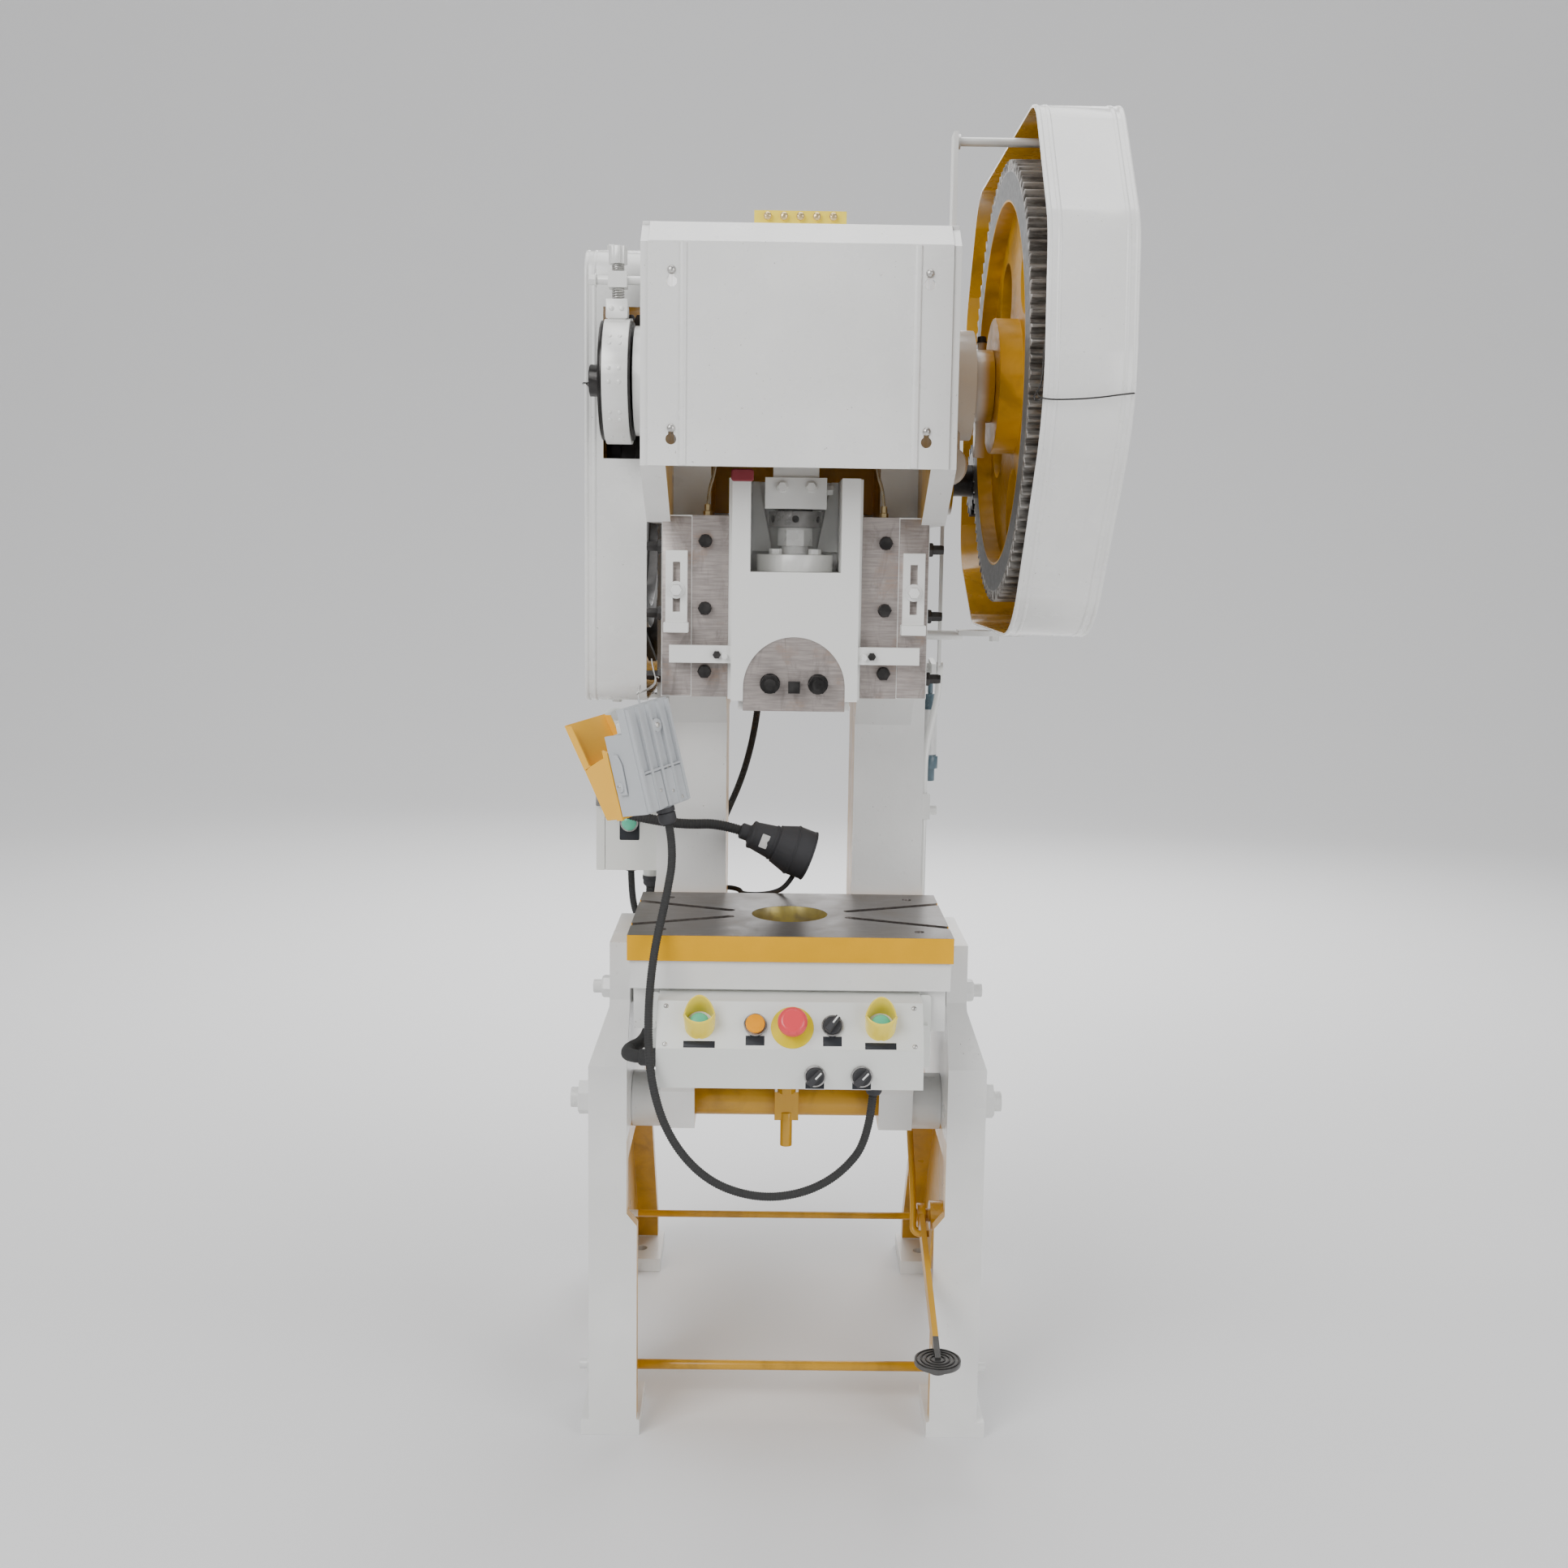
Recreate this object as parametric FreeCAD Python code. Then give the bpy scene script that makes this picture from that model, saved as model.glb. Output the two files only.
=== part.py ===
"""Open-back inclinable eccentric press of the 16-tonne class, on a two-leg stand.

Millimetres.  X is across the machine, Y runs from front (-) to back (+), Z is up.
Every piece is drawn about the slide's own plane (Y = 0 there, Z = 0 on the floor) and
moved back by BOLT_CENTRE at the end, so that the file's origin is the centre of the
four anchor holes in the feet.
"""
import FreeCAD, Part
import math
import os
from FreeCAD import Vector

# ---------------------------------------------------------------- driving sizes
BOLT_CENTRE = 290.0        # anchor pattern's centre, behind the slide's plane
FIT = 0.05                 # radial clearance of a running fit
SIDE_PLAY = 0.5            # flat play between the frame's bosses and the legs
SOFT_GAP = 0.3             # between a belt or a band and what it runs on

# table and bed
TABLE_TOP = 780.0
TABLE_WIDTH = 450.0
TABLE_DEPTH = 300.0
TABLE_THICK = 36.0
DIE_BORE = 110.0
DIE_HOLE_X, DIE_HOLE_Y = 180.0, 110.0     # tapped corner holes, from the centre
DIE_HOLE = 14.0
SLOT_WIDTH = 14.0
RIM_WIDTH, RIM_THICK, RIM_FRONT = 444.0, 40.0, 145.0
BED_WIDTH, BED_FRONT, BED_BOTTOM = 434.0, 130.0, 643.0
BED_WALL = 24.0
BED_BOX_BACK = 190.0       # the wide front box of the bed ends here
EAR_INSIDE, EAR_THICK = 137.0, 50.0

# columns and crown
THROAT = 160.0             # slide centre to column
COLUMN_INSIDE, COLUMN_OUTSIDE, COLUMN_BACK = 98.0, 205.0, 330.0
CHEEK_OUTSIDE = 184.0
CROWN_WALL = 33.0
CROWN_FRONT = 197.0
CROWN_BACK = 400.0
CROWN_TOP = 1719.0
CROWN_FLOOR = 1412.0

# crank, slide and its linkage
CRANK_HEIGHT = 1537.0
STROKE = 70.0
JOURNAL = 70.0
CRANK_PIN = 86.0
BIG_END_WIDTH = 84.0
GIB_BOTTOM, GIB_TOP, GIB_FRONT, GIB_BACK = 1103.0, 1352.0, 75.0, 30.0
GIB_SPLIT = 142.0
RAM_WIDTH, RAM_FRONT, RAM_BACK = 184.0, 102.0, 85.0
RAM_BOTTOM, RAM_TOP = 1086.0, 1403.0
RAM_NOSE = 174.0           # narrower front of the slide
POCKET_FLOOR, POCKET_WIDTH = 1276.0, 124.0
BALL = 64.0
SCREW = 48.0
SHANK_BORE, SHANK_DEPTH = 40.0, 60.0
CLAMP_RADIUS = 70.0
CLAMP_ARCH = 1188.0
BAR_BOTTOM, BAR_HEIGHT, BAR_THICK, BAR_LENGTH = 1151.0, 24.0, 11.0, 344.0
BAR_TRAVEL = 15.0
BOLT_WASHER, BOLT_HEAD = 2.5, 7.5          # gib bolts' washers and heads
BAR_BACK = GIB_FRONT + BOLT_WASHER + BOLT_HEAD + 1.0      # the knock-out bar passes over the heads

# gearing
MODULE = 6.0
GEAR_TEETH, PINION_TEETH = 98, 17
GEAR_INSIDE, GEAR_WIDTH = 282.0, 68.0
DRIVE_DROP = 117.0         # drive shaft below the crank
DRIVE_SHAFT = 50.0
GEAR_SHAFT = 64.0
FLYWHEEL, FLYWHEEL_WIDTH, FLYWHEEL_OUT = 480.0, 50.0, 275.0
PULLEY = 96.0
MOTOR_Y, MOTOR_Z = 575.0, 1165.0
MOTOR_BODY, MOTOR_LENGTH = 166.0, 240.0
BRAKE_DRUM, DRUM_INSIDE, DRUM_OUTSIDE = 163.0, 228.0, 270.0

# stand
TRUNNION_Y, TRUNNION_Z = 60.0, 480.0
TRUNNION_SHAFT = 47.0
TRUNNION_BOSS = 84.0
TILT = 30.0                # degrees the frame leans back
LOCK_RADIUS, LOCK_BOLT = 173.0, 20.0
LEG_INSIDE, LEG_OUTSIDE = 232.0, 288.0
LEG_WEB, LEG_FLANGE = 22.0, 22.0
HEAD_OUTSIDE, HEAD_TOP = 262.0, 736.0
HEAD_FACE = 600.0          # the machined face for the lock nuts starts here
LEG_FRONT = 60.0
LEG_SHOULDER = 565.0
FOOT_INSIDE, FOOT_OUTSIDE, FOOT_THICK = 213.0, 300.0, 24.0
FOOT_BACK = 650.0
ANCHOR_X, ANCHOR_SPACING, ANCHOR_HOLE = 257.0, 560.0, 22.0
LOWER_ROD, LOWER_ROD_Y, LOWER_ROD_Z = 15.0, 40.0, 62.0
UPPER_ROD, UPPER_ROD_Y, UPPER_ROD_Z = 11.0, 200.0, 240.0

# sheet guards
SHEET = 3.0
GEAR_GUARD_INSIDE, GEAR_GUARD_OUTSIDE = 293.0, 404.0
BELT_GUARD_INSIDE, BELT_GUARD_OUTSIDE = 212.0, 300.0

# controls
BOX_HALF, BOX_BOTTOM, BOX_TOP, BOX_FRONT = 180.0, 588.0, 699.0, 225.0
BOX_LIP = 190.0            # front edge of the box's top
BOX_BREAK = 642.0          # where the sloping panel meets the upright one
PALM_X = 122.0

# operating rods
ROD = 10.0
ROD_X, ROD_Y = 212.0, 215.0
LINK_X = 198.0
PEDAL_PIVOT_Y, PEDAL_PIVOT_Z = 60.0, 298.0
PEDAL_Y, PEDAL_Z, PEDAL_RADIUS = -230.0, 200.0, 32.0
HOOK_Y = 20.0
TRIP_PIVOT_Y, TRIP_Z = 262.0, 1125.0

X, Y, Z = Vector(1, 0, 0), Vector(0, 1, 0), Vector(0, 0, 1)


# ---------------------------------------------------------------- small helpers
def block(x0, x1, y0, y1, z0, z1):
    """Box between two corners."""
    return Part.makeBox(x1 - x0, y1 - y0, z1 - z0, Vector(x0, y0, z0))


def rod(radius, start, end):
    """Round bar between two points."""
    start, end = Vector(*start), Vector(*end)
    return Part.makeCylinder(radius, (end - start).Length, start, end - start)


def along_x(radius, x0, x1, y, z):
    """Round bar along X."""
    return rod(radius, (x0, y, z), (x1, y, z))


def ring_x(outer, inner, x0, x1, y, z):
    """Ring about an axis along X."""
    return along_x(outer, x0, x1, y, z).cut(along_x(inner, x0 - 1, x1 + 1, y, z))


def plate_yz(outline, x0, x1):
    """Flat outline (y, z) given a thickness along X."""
    points = [Vector(x0, y, z) for y, z in outline]
    face = Part.Face(Part.makePolygon(points + points[:1]))
    return face.extrude(Vector(x1 - x0, 0, 0))


def plate_xz(outline, y0, y1):
    """Flat outline (x, z) given a thickness along Y."""
    points = [Vector(x, y0, z) for x, z in outline]
    face = Part.Face(Part.makePolygon(points + points[:1]))
    return face.extrude(Vector(0, y1 - y0, 0))


def hexagon(across, start, end):
    """Hexagonal bar between two points, by its width across flats."""
    start, end = Vector(*start), Vector(*end)
    turn = FreeCAD.Rotation(Z, end - start)
    corner = across / math.sqrt(3)
    points = [start + turn.multVec(Vector(corner * math.cos(k * math.pi / 3),
                                          corner * math.sin(k * math.pi / 3), 0)) for k in range(6)]
    return Part.Face(Part.makePolygon(points + points[:1])).extrude(end - start)


def mirrored(shape):
    """The same shape on the other side of the machine."""
    return shape.mirror(Vector(0, 0, 0), X)


def fused(shapes):
    """One solid from touching shapes."""
    return shapes[0].multiFuse(shapes[1:]).removeSplitter()


def rounded_wire(corners, x):
    """Closed outline (y, z, radius) at one X, with its corners rounded by true arcs."""
    points = [Vector(x, y, z) for y, z, _ in corners]
    count, edges, ends = len(corners), [], []
    for i, (_, _, radius) in enumerate(corners):
        here, before, after = points[i], points[i - 1], points[(i + 1) % count]
        into, out = (before - here).normalize(), (after - here).normalize()
        half = into.getAngle(out) / 2
        reach = radius / math.tan(half)
        middle = (into + out).normalize() * (radius / math.sin(half) - radius)
        ends.append((here + into * reach, here + middle, here + out * reach))
    for i, (first, middle, last) in enumerate(ends):
        edges.append(Part.Arc(first, middle, last).toShape())
        edges.append(Part.LineSegment(last, ends[(i + 1) % count][0]).toShape())
    return Part.Wire(edges)


def tray(corners, x_open, x_closed, sheet):
    """Sheet cover: a rim along X with one closed side, from a rounded (y, z, radius) outline."""
    outer = rounded_wire(corners, x_open)
    inner = outer.makeOffset2D(-sheet)
    depth = x_closed - x_open
    lining = math.copysign(abs(depth) - sheet, depth)
    return Part.Face(outer).extrude(X * depth).cut(Part.Face(inner).extrude(X * lining))


def cord_path(points, bend_share=0.45):
    """Straight runs joined by tangent arcs; returns the wire and its smallest radius."""
    points = [Vector(*p) for p in points]
    edges, last, smallest = [], points[0], 1e9
    for before, here, after in zip(points, points[1:], points[2:]):
        into, out = (before - here), (after - here)
        run = bend_share * min(into.Length, out.Length)
        into.normalize()
        out.normalize()
        half = into.getAngle(out) / 2
        radius = run * math.tan(half)
        smallest = min(smallest, radius)
        middle = (into + out).normalize() * (radius / math.sin(half) - radius)
        edges.append(Part.LineSegment(last, here + into * run).toShape())
        edges.append(Part.Arc(here + into * run, here + middle, here + out * run).toShape())
        last = here + out * run
    edges.append(Part.LineSegment(last, points[-1]).toShape())
    return Part.Wire(edges), smallest


def cord(name, points, diameter):
    """Round cord along a route, with its radii and its volume printed as a test."""
    path, smallest = cord_path(points)
    first = path.Edges[0]
    section = Part.Wire(Part.makeCircle(diameter / 2, first.valueAt(first.FirstParameter),
                                        first.tangentAt(first.FirstParameter)))
    tube = path.makePipeShell([section], True, False)
    share = tube.Volume / (math.pi * diameter ** 2 / 4 * path.Length)
    print(f"{name}: length {path.Length:.0f}, smallest radius {smallest:.0f}, volume share {share:.4f}")
    return tube


# ---------------------------------------------------------------- the casting
def press_frame():
    """Bed, two columns, slide cheeks and crown, cast in one piece."""
    bed_top = TABLE_TOP - TABLE_THICK
    half = BED_WIDTH / 2
    drive_y, drive_z = drive_centre()
    parts = []
    bed = block(-half, half, -BED_FRONT, BED_BOX_BACK, BED_BOTTOM, bed_top)
    bed = bed.cut(block(-half + BED_WALL, half - BED_WALL, -BED_FRONT + BED_WALL,
                        BED_BOX_BACK - BED_WALL, BED_BOTTOM - 1, bed_top - BED_WALL))
    bed = bed.cut(rod(DIE_BORE / 2 + 8, (0, 0, bed_top - BED_WALL - 1), (0, 0, bed_top + 1)))
    rim = block(-RIM_WIDTH / 2, RIM_WIDTH / 2, -RIM_FRONT, -BED_FRONT, bed_top - RIM_THICK, bed_top)
    side_rim = block(half, RIM_WIDTH / 2, -RIM_FRONT, 40, bed_top - RIM_THICK, bed_top)
    heel = block(-COLUMN_OUTSIDE, COLUMN_OUTSIDE, BED_BOX_BACK - BED_WALL, COLUMN_BACK,
                 BED_BOTTOM + 30, bed_top)
    parts += [bed, rim, side_rim, mirrored(side_rim), heel]
    sides = frame_side(bed_top)
    parts += sides + [mirrored(shape) for shape in sides]
    parts += [along_x(55, 140, 252, drive_y, drive_z),
              along_x(55, FLYWHEEL_WIDTH - FLYWHEEL_OUT + 3, -140, drive_y, drive_z)]
    web = block(-COLUMN_OUTSIDE, COLUMN_OUTSIDE, THROAT, THROAT + 25, GIB_TOP, CROWN_TOP - 40)
    shelf_top = MOTOR_Z - MOTOR_BODY / 2 - 12
    shelf = block(-150, 130, MOTOR_Y - 95, MOTOR_Y + 85, shelf_top - 16, shelf_top)
    arms = [block(x0, x1, COLUMN_BACK - 20, MOTOR_Y - 90, shelf_top - 16, shelf_top)
            for x0, x1 in ((-150, -COLUMN_INSIDE), (COLUMN_INSIDE, 130))]
    gussets = [plate_yz([(COLUMN_BACK - 5, shelf_top - 16), (MOTOR_Y + 60, shelf_top - 16),
                         (COLUMN_BACK - 5, shelf_top - 150)], x, x + 14) for x in (-150, 116)]
    right_boss = along_x(75, COLUMN_OUTSIDE - 5, 243, 0, CRANK_HEIGHT)
    left_boss = along_x(75, -225, -COLUMN_OUTSIDE + 5, 0, CRANK_HEIGHT)
    frame = fused(parts + [web, shelf, right_boss, left_boss] + arms + gussets)
    bush = JOURNAL / 2 + 8
    cuts = [along_x(bush, -230, -80, 0, CRANK_HEIGHT), along_x(bush, 80, 250, 0, CRANK_HEIGHT),
            along_x(DRIVE_SHAFT / 2 + FIT, -270, 270, drive_y, drive_z),
            along_x(TRUNNION_SHAFT / 2 + FIT, -240, 240, TRUNNION_Y, TRUNNION_Z)]
    for x in (-1, 1):
        start = x * (BED_WIDTH / 2 - BED_WALL - 1)
        cuts.append(along_x(LOCK_BOLT / 2, min(start, x * 240), max(start, x * 240), TRUNNION_Y,
                            TRUNNION_Z + LOCK_RADIUS))
    return frame.cut(Part.makeCompound(cuts))


def frame_side(bed_top):
    """Right-hand column, ear, cheek and crown wall."""
    ear_outline = [(-BED_FRONT + 20, BED_BOTTOM + 20), (TRUNNION_Y - 62, TRUNNION_Z + 30),
                   (TRUNNION_Y - 50, TRUNNION_Z - 30), (TRUNNION_Y + 50, TRUNNION_Z - 30),
                   (TRUNNION_Y + 62, TRUNNION_Z + 30), (BED_BOX_BACK - 10, BED_BOTTOM + 20)]
    ear = plate_yz(ear_outline, EAR_INSIDE, EAR_INSIDE + EAR_THICK)
    boss = along_x(TRUNNION_BOSS / 2, EAR_INSIDE + EAR_THICK - 5, LEG_INSIDE - SIDE_PLAY,
                   TRUNNION_Y, TRUNNION_Z)
    lock_boss = along_x(24, BED_WIDTH / 2 - 5, LEG_INSIDE - SIDE_PLAY, TRUNNION_Y,
                        TRUNNION_Z + LOCK_RADIUS)
    column = block(COLUMN_INSIDE, COLUMN_OUTSIDE, THROAT, COLUMN_BACK, bed_top - 60, GIB_TOP + 60)
    toe = plate_xz([(COLUMN_INSIDE - 4, bed_top), (COLUMN_OUTSIDE + 7, bed_top),
                    (COLUMN_OUTSIDE, bed_top + 60), (COLUMN_INSIDE, bed_top + 60)],
                   THROAT, BED_BOX_BACK)
    cheek_in = RAM_WIDTH / 2 + 2
    cheek = block(cheek_in, CHEEK_OUTSIDE, -GIB_BACK, THROAT + 5, GIB_BOTTOM, GIB_TOP)
    way = block(GIB_SPLIT, CHEEK_OUTSIDE, -GIB_FRONT, -GIB_BACK + 1, GIB_BOTTOM, GIB_TOP)
    foot = plate_yz([(THROAT - 60, GIB_BOTTOM), (THROAT + 5, GIB_BOTTOM - 65),
                     (THROAT + 5, GIB_BOTTOM)], COLUMN_INSIDE, CHEEK_OUTSIDE)
    wall_outline = [(-GIB_FRONT, GIB_TOP - 10), (-CROWN_FRONT, CROWN_FLOOR), (-CROWN_FRONT, 1693),
                    (-CROWN_FRONT + 34, CROWN_TOP), (230, CROWN_TOP), (CROWN_BACK, 1560),
                    (CROWN_BACK, 1350), (COLUMN_BACK, 1270), (THROAT, 1270), (THROAT, GIB_TOP - 10)]
    wall = plate_yz(wall_outline, COLUMN_OUTSIDE - CROWN_WALL, COLUMN_OUTSIDE)
    hanger = block(119, COLUMN_OUTSIDE - CROWN_WALL + 1, -10, THROAT + 5, GIB_TOP - 5, CRANK_HEIGHT)
    housing = along_x(75, 95, COLUMN_OUTSIDE, 0, CRANK_HEIGHT)
    return [ear, boss, lock_boss, column, toe, cheek, way, foot, wall, hanger, housing]


def drive_centre():
    """Drive shaft's place: one centre distance from the crank, a set drop below it."""
    distance = MODULE * (GEAR_TEETH + PINION_TEETH) / 2
    return math.sqrt(distance ** 2 - DRIVE_DROP ** 2), CRANK_HEIGHT - DRIVE_DROP


def bolster():
    """Table plate with die hole, four diagonal slots and corner holes."""
    plate = block(-TABLE_WIDTH / 2, TABLE_WIDTH / 2, -TABLE_DEPTH / 2, TABLE_DEPTH / 2,
                  TABLE_TOP - TABLE_THICK, TABLE_TOP)
    cuts = [rod(DIE_BORE / 2, (0, 0, TABLE_TOP - TABLE_THICK - 1), (0, 0, TABLE_TOP + 1))]
    for sx in (-1, 1):
        for sy in (-1, 1):
            cuts.append(rod(DIE_HOLE / 2, (sx * DIE_HOLE_X, sy * DIE_HOLE_Y, TABLE_TOP - TABLE_THICK - 1),
                            (sx * DIE_HOLE_X, sy * DIE_HOLE_Y, TABLE_TOP + 1)))
            start = Vector(sx * (DIE_BORE / 2 + 32), sy * 22, 0)
            end = Vector(sx * TABLE_WIDTH * 0.6, sy * TABLE_DEPTH * 0.335, 0)
            cuts.append(tee_slot(start, end))
    return plate.cut(Part.makeCompound(cuts))


def tee_slot(start, end):
    """Slot of tee section that runs out of the plate's edge."""
    length = (end - start).Length
    neck = block(0, length, -SLOT_WIDTH / 2, SLOT_WIDTH / 2, TABLE_TOP - 22, TABLE_TOP + 1)
    neck = neck.fuse(rod(SLOT_WIDTH / 2, (0, 0, TABLE_TOP - 22), (0, 0, TABLE_TOP + 1)))
    foot = block(0, length, -SLOT_WIDTH * 0.9, SLOT_WIDTH * 0.9, TABLE_TOP - 22, TABLE_TOP - 12)
    slot = neck.fuse(foot)
    slot.rotate(Vector(0, 0, 0), Z, math.degrees(math.atan2(end.y - start.y, end.x - start.x)))
    slot.translate(start)
    return slot


# ---------------------------------------------------------------- slide and ways
def gib():
    """Right-hand gib strip, held by three bolts."""
    strip = block(RAM_WIDTH / 2, GIB_SPLIT, -GIB_FRONT, -GIB_BACK, GIB_BOTTOM, GIB_TOP)
    for z in gib_bolt_heights():
        strip = strip.cut(rod(5, (gib_bolt_x(), -GIB_FRONT - 1, z), (gib_bolt_x(), -GIB_BACK + 1, z)))
    return strip


def gib_bolt_heights():
    """Heights of the three gib bolts, spread over the gib's length."""
    length = GIB_TOP - GIB_BOTTOM
    return [GIB_BOTTOM + share * length for share in (0.14, 0.49, 0.86)]


def gib_bolt_x():
    """Distance of the gib bolts from the machine's middle."""
    return (RAM_WIDTH / 2 + GIB_SPLIT) / 2 + 7


def gib_fasteners():
    """Gib bolts, side set screws with lock nuts, and the bolts of the knock-out stops."""
    out = []
    stop_x, stop_z = stop_centre()
    for side in (1, -1):
        for z in gib_bolt_heights():
            x = side * gib_bolt_x()
            seat = -GIB_FRONT - BOLT_WASHER
            head = hexagon(19, (x, seat, z), (x, seat - BOLT_HEAD, z))
            washer = rod(14, (x, -GIB_FRONT, z), (x, seat, z))
            shank = rod(5, (x, -GIB_FRONT, z), (x, -GIB_BACK, z))
            out.append(fused([head, washer, shank]))
            tip = side * CHEEK_OUTSIDE
            nut = hexagon(19, (tip, -52, z - 8), (tip + side * 8, -52, z - 8))
            out.append(nut.fuse(hexagon(13, (tip + side * 8, -52, z - 8), (tip + side * 22, -52, z - 8))))
        x = side * stop_x
        face = -GIB_FRONT - BAR_THICK
        washer = rod(13, (x, face, stop_z), (x, face - 3, stop_z))
        out.append(washer.fuse(hexagon(17, (x, face - 3, stop_z), (x, face - 13, stop_z))))
    return out


def stop_centre():
    """Place of a knock-out stop's bolt."""
    return (GIB_SPLIT + CHEEK_OUTSIDE) / 2, BAR_BOTTOM + BAR_HEIGHT + 75


def knockout_stop():
    """Slotted plate with a forward lip that stops the knock-out bar."""
    x, z = stop_centre()
    bottom = BAR_BOTTOM + BAR_HEIGHT + BAR_TRAVEL + 2
    plate = block(x - 15, x + 15, -GIB_FRONT - BAR_THICK, -GIB_FRONT, bottom, z + 54)
    lip = block(x - 17, x + 17, -GIB_FRONT - 24, -GIB_FRONT, bottom, bottom + 14)
    slot = block(x - 5, x + 5, -GIB_FRONT - 20, -GIB_FRONT + 1, z - 30, z + 38)
    return plate.cut(slot).fuse(lip).removeSplitter()


def ram():
    """Slide: body in the ways, narrower nose, pocket for the ball joint, shank bore."""
    width = RAM_WIDTH / 2 - FIT
    body = block(-width, width, -GIB_FRONT + 1, RAM_BACK, RAM_BOTTOM + 14, RAM_TOP)
    nose = block(-RAM_NOSE / 2, RAM_NOSE / 2, -RAM_FRONT, -GIB_FRONT + 2, RAM_BOTTOM + 14, RAM_TOP)
    seat = block(-CLAMP_RADIUS - 7, CLAMP_RADIUS + 7, -RAM_FRONT + 20, RAM_BACK, RAM_BOTTOM,
                 RAM_BOTTOM + 15)
    solid = fused([body, nose, seat])
    half = POCKET_WIDTH / 2
    pocket = block(-half, half, -RAM_FRONT - 1, 56, POCKET_FLOOR, RAM_TOP + 1)
    solid = solid.cut(pocket).cut(clamp_space(0)).cut(bar_slot())
    solid = solid.cut(Part.makeSphere(BALL / 2 + FIT, Vector(0, 0, POCKET_FLOOR)))
    rib = plate_xz([(half + 1, RAM_TOP), (half - 10, RAM_TOP), (half - 30, POCKET_FLOOR + 28),
                    (half + 1, POCKET_FLOOR + 28)], 46, 57)
    solid = solid.fuse(rib).fuse(mirrored(rib)).removeSplitter()
    bore = rod(SHANK_BORE / 2, (0, 0, RAM_BOTTOM - 1), (0, 0, RAM_BOTTOM + SHANK_DEPTH))
    return solid.cut(bore)


def clamp_space(clearance):
    """Arched block in the slide's lower front, ahead of the shank's axis."""
    centre = CLAMP_ARCH - CLAMP_RADIUS
    radius = CLAMP_RADIUS - clearance
    front, bottom = -RAM_FRONT - 1, RAM_BOTTOM - 1
    if clearance:
        front, bottom = -RAM_FRONT + 2, RAM_BOTTOM
    arch = rod(radius, (0, front, centre), (0, -0.5, centre))
    upper = block(-CLAMP_RADIUS, CLAMP_RADIUS, front, -0.5, centre, CLAMP_ARCH)
    return arch.common(upper).fuse(block(-radius, radius, front, -0.5, bottom, centre)).removeSplitter()


def bar_slot():
    """Way for the knock-out bar through the slide."""
    return block(-RAM_WIDTH, RAM_WIDTH, -BAR_BACK - BAR_THICK - SOFT_GAP, -BAR_BACK + SOFT_GAP,
                 BAR_BOTTOM - SOFT_GAP, BAR_BOTTOM + BAR_HEIGHT + BAR_TRAVEL + 1)


def shank_clamp():
    """Front half of the shank clamp."""
    bore = rod(SHANK_BORE / 2, (0, 0, RAM_BOTTOM - 1), (0, 0, RAM_BOTTOM + SHANK_DEPTH))
    solid = clamp_space(0.02).cut(bar_slot()).cut(bore)
    for x in (-stud_x(), stud_x()):
        solid = solid.cut(rod(8, (x, -RAM_FRONT - 2, stud_z()), (x, 0, stud_z())))
    return solid.cut(rod(7, (0, -RAM_FRONT - 2, stud_z() - 4), (0, 0, stud_z() - 4)))


def stud_x():
    """Clamp studs stand either side of the shank bore."""
    return SHANK_BORE / 2 + 13


def stud_z():
    """Height of the clamp studs."""
    return RAM_BOTTOM + 38


def clamp_studs():
    """Two studs with nuts and the square-headed set screw between them."""
    out, face = [], -RAM_FRONT + 2
    for x in (-stud_x(), stud_x()):
        stud = rod(8, (x, face - 24, stud_z()), (x, -0.5, stud_z()))
        washer = rod(14, (x, face - 3, stud_z()), (x, face, stud_z()))
        nut = hexagon(24, (x, face - 16, stud_z()), (x, face - 3, stud_z()))
        out.append(fused([stud, washer, nut]))
    z = stud_z() - 4
    screw = rod(7, (0, face - 6, z), (0, -SHANK_BORE / 2, z))
    out.append(screw.fuse(block(-8, 8, face - 18, face - 5, z - 8, z + 8)).removeSplitter())
    return out


def knockout_bar():
    """Flat bar through the slide that pushes the work out of the upper die."""
    bar = block(-BAR_LENGTH / 2, BAR_LENGTH / 2, -BAR_BACK - BAR_THICK, -BAR_BACK, BAR_BOTTOM,
                BAR_BOTTOM + BAR_HEIGHT)
    pins = [rod(4, (x, -BAR_BACK - BAR_THICK - 7, BAR_BOTTOM + 10), (x, -BAR_BACK, BAR_BOTTOM + 10))
            for x in (-RAM_WIDTH / 2 - 4, RAM_WIDTH / 2 + 4)]
    return fused([bar] + pins)


def ball_cap():
    """Round flange with four bolts that keeps the ball in its seat."""
    top = POCKET_FLOOR + 24
    cap = rod(54, (0, 0, POCKET_FLOOR), (0, 0, top))
    cap = cap.cut(Part.makeSphere(BALL / 2 + FIT, Vector(0, 0, POCKET_FLOOR)))
    spots = [(39 * math.cos(a), 39 * math.sin(a))
             for a in [math.pi / 4 + k * math.pi / 2 for k in range(4)]]
    heads = [hexagon(16, (x, y, top), (x, y, top + 8)) for x, y in spots]
    return fused([cap] + heads)


def adjusting_screw():
    """Ball-ended screw: ball, collar, hexagon, tommy-hole ring and thread."""
    centre = POCKET_FLOOR
    pieces = [Part.makeSphere(BALL / 2, Vector(0, 0, centre)),
              rod(19, (0, 0, centre + 10), (0, 0, centre + 40)),
              hexagon(42, (0, 0, centre + 36), (0, 0, centre + 60)),
              rod(37, (0, 0, centre + 62), (0, 0, centre + 84)),
              rod(SCREW / 2, (0, 0, centre + 58), (0, 0, RAM_TOP + 60))]
    screw = fused(pieces)
    for k in range(6):
        angle = math.pi / 6 + k * math.pi / 3
        hole = rod(5, (25 * math.cos(angle), 25 * math.sin(angle), centre + 73),
                   (40 * math.cos(angle), 40 * math.sin(angle), centre + 73))
        screw = screw.cut(hole)
    return screw


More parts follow.
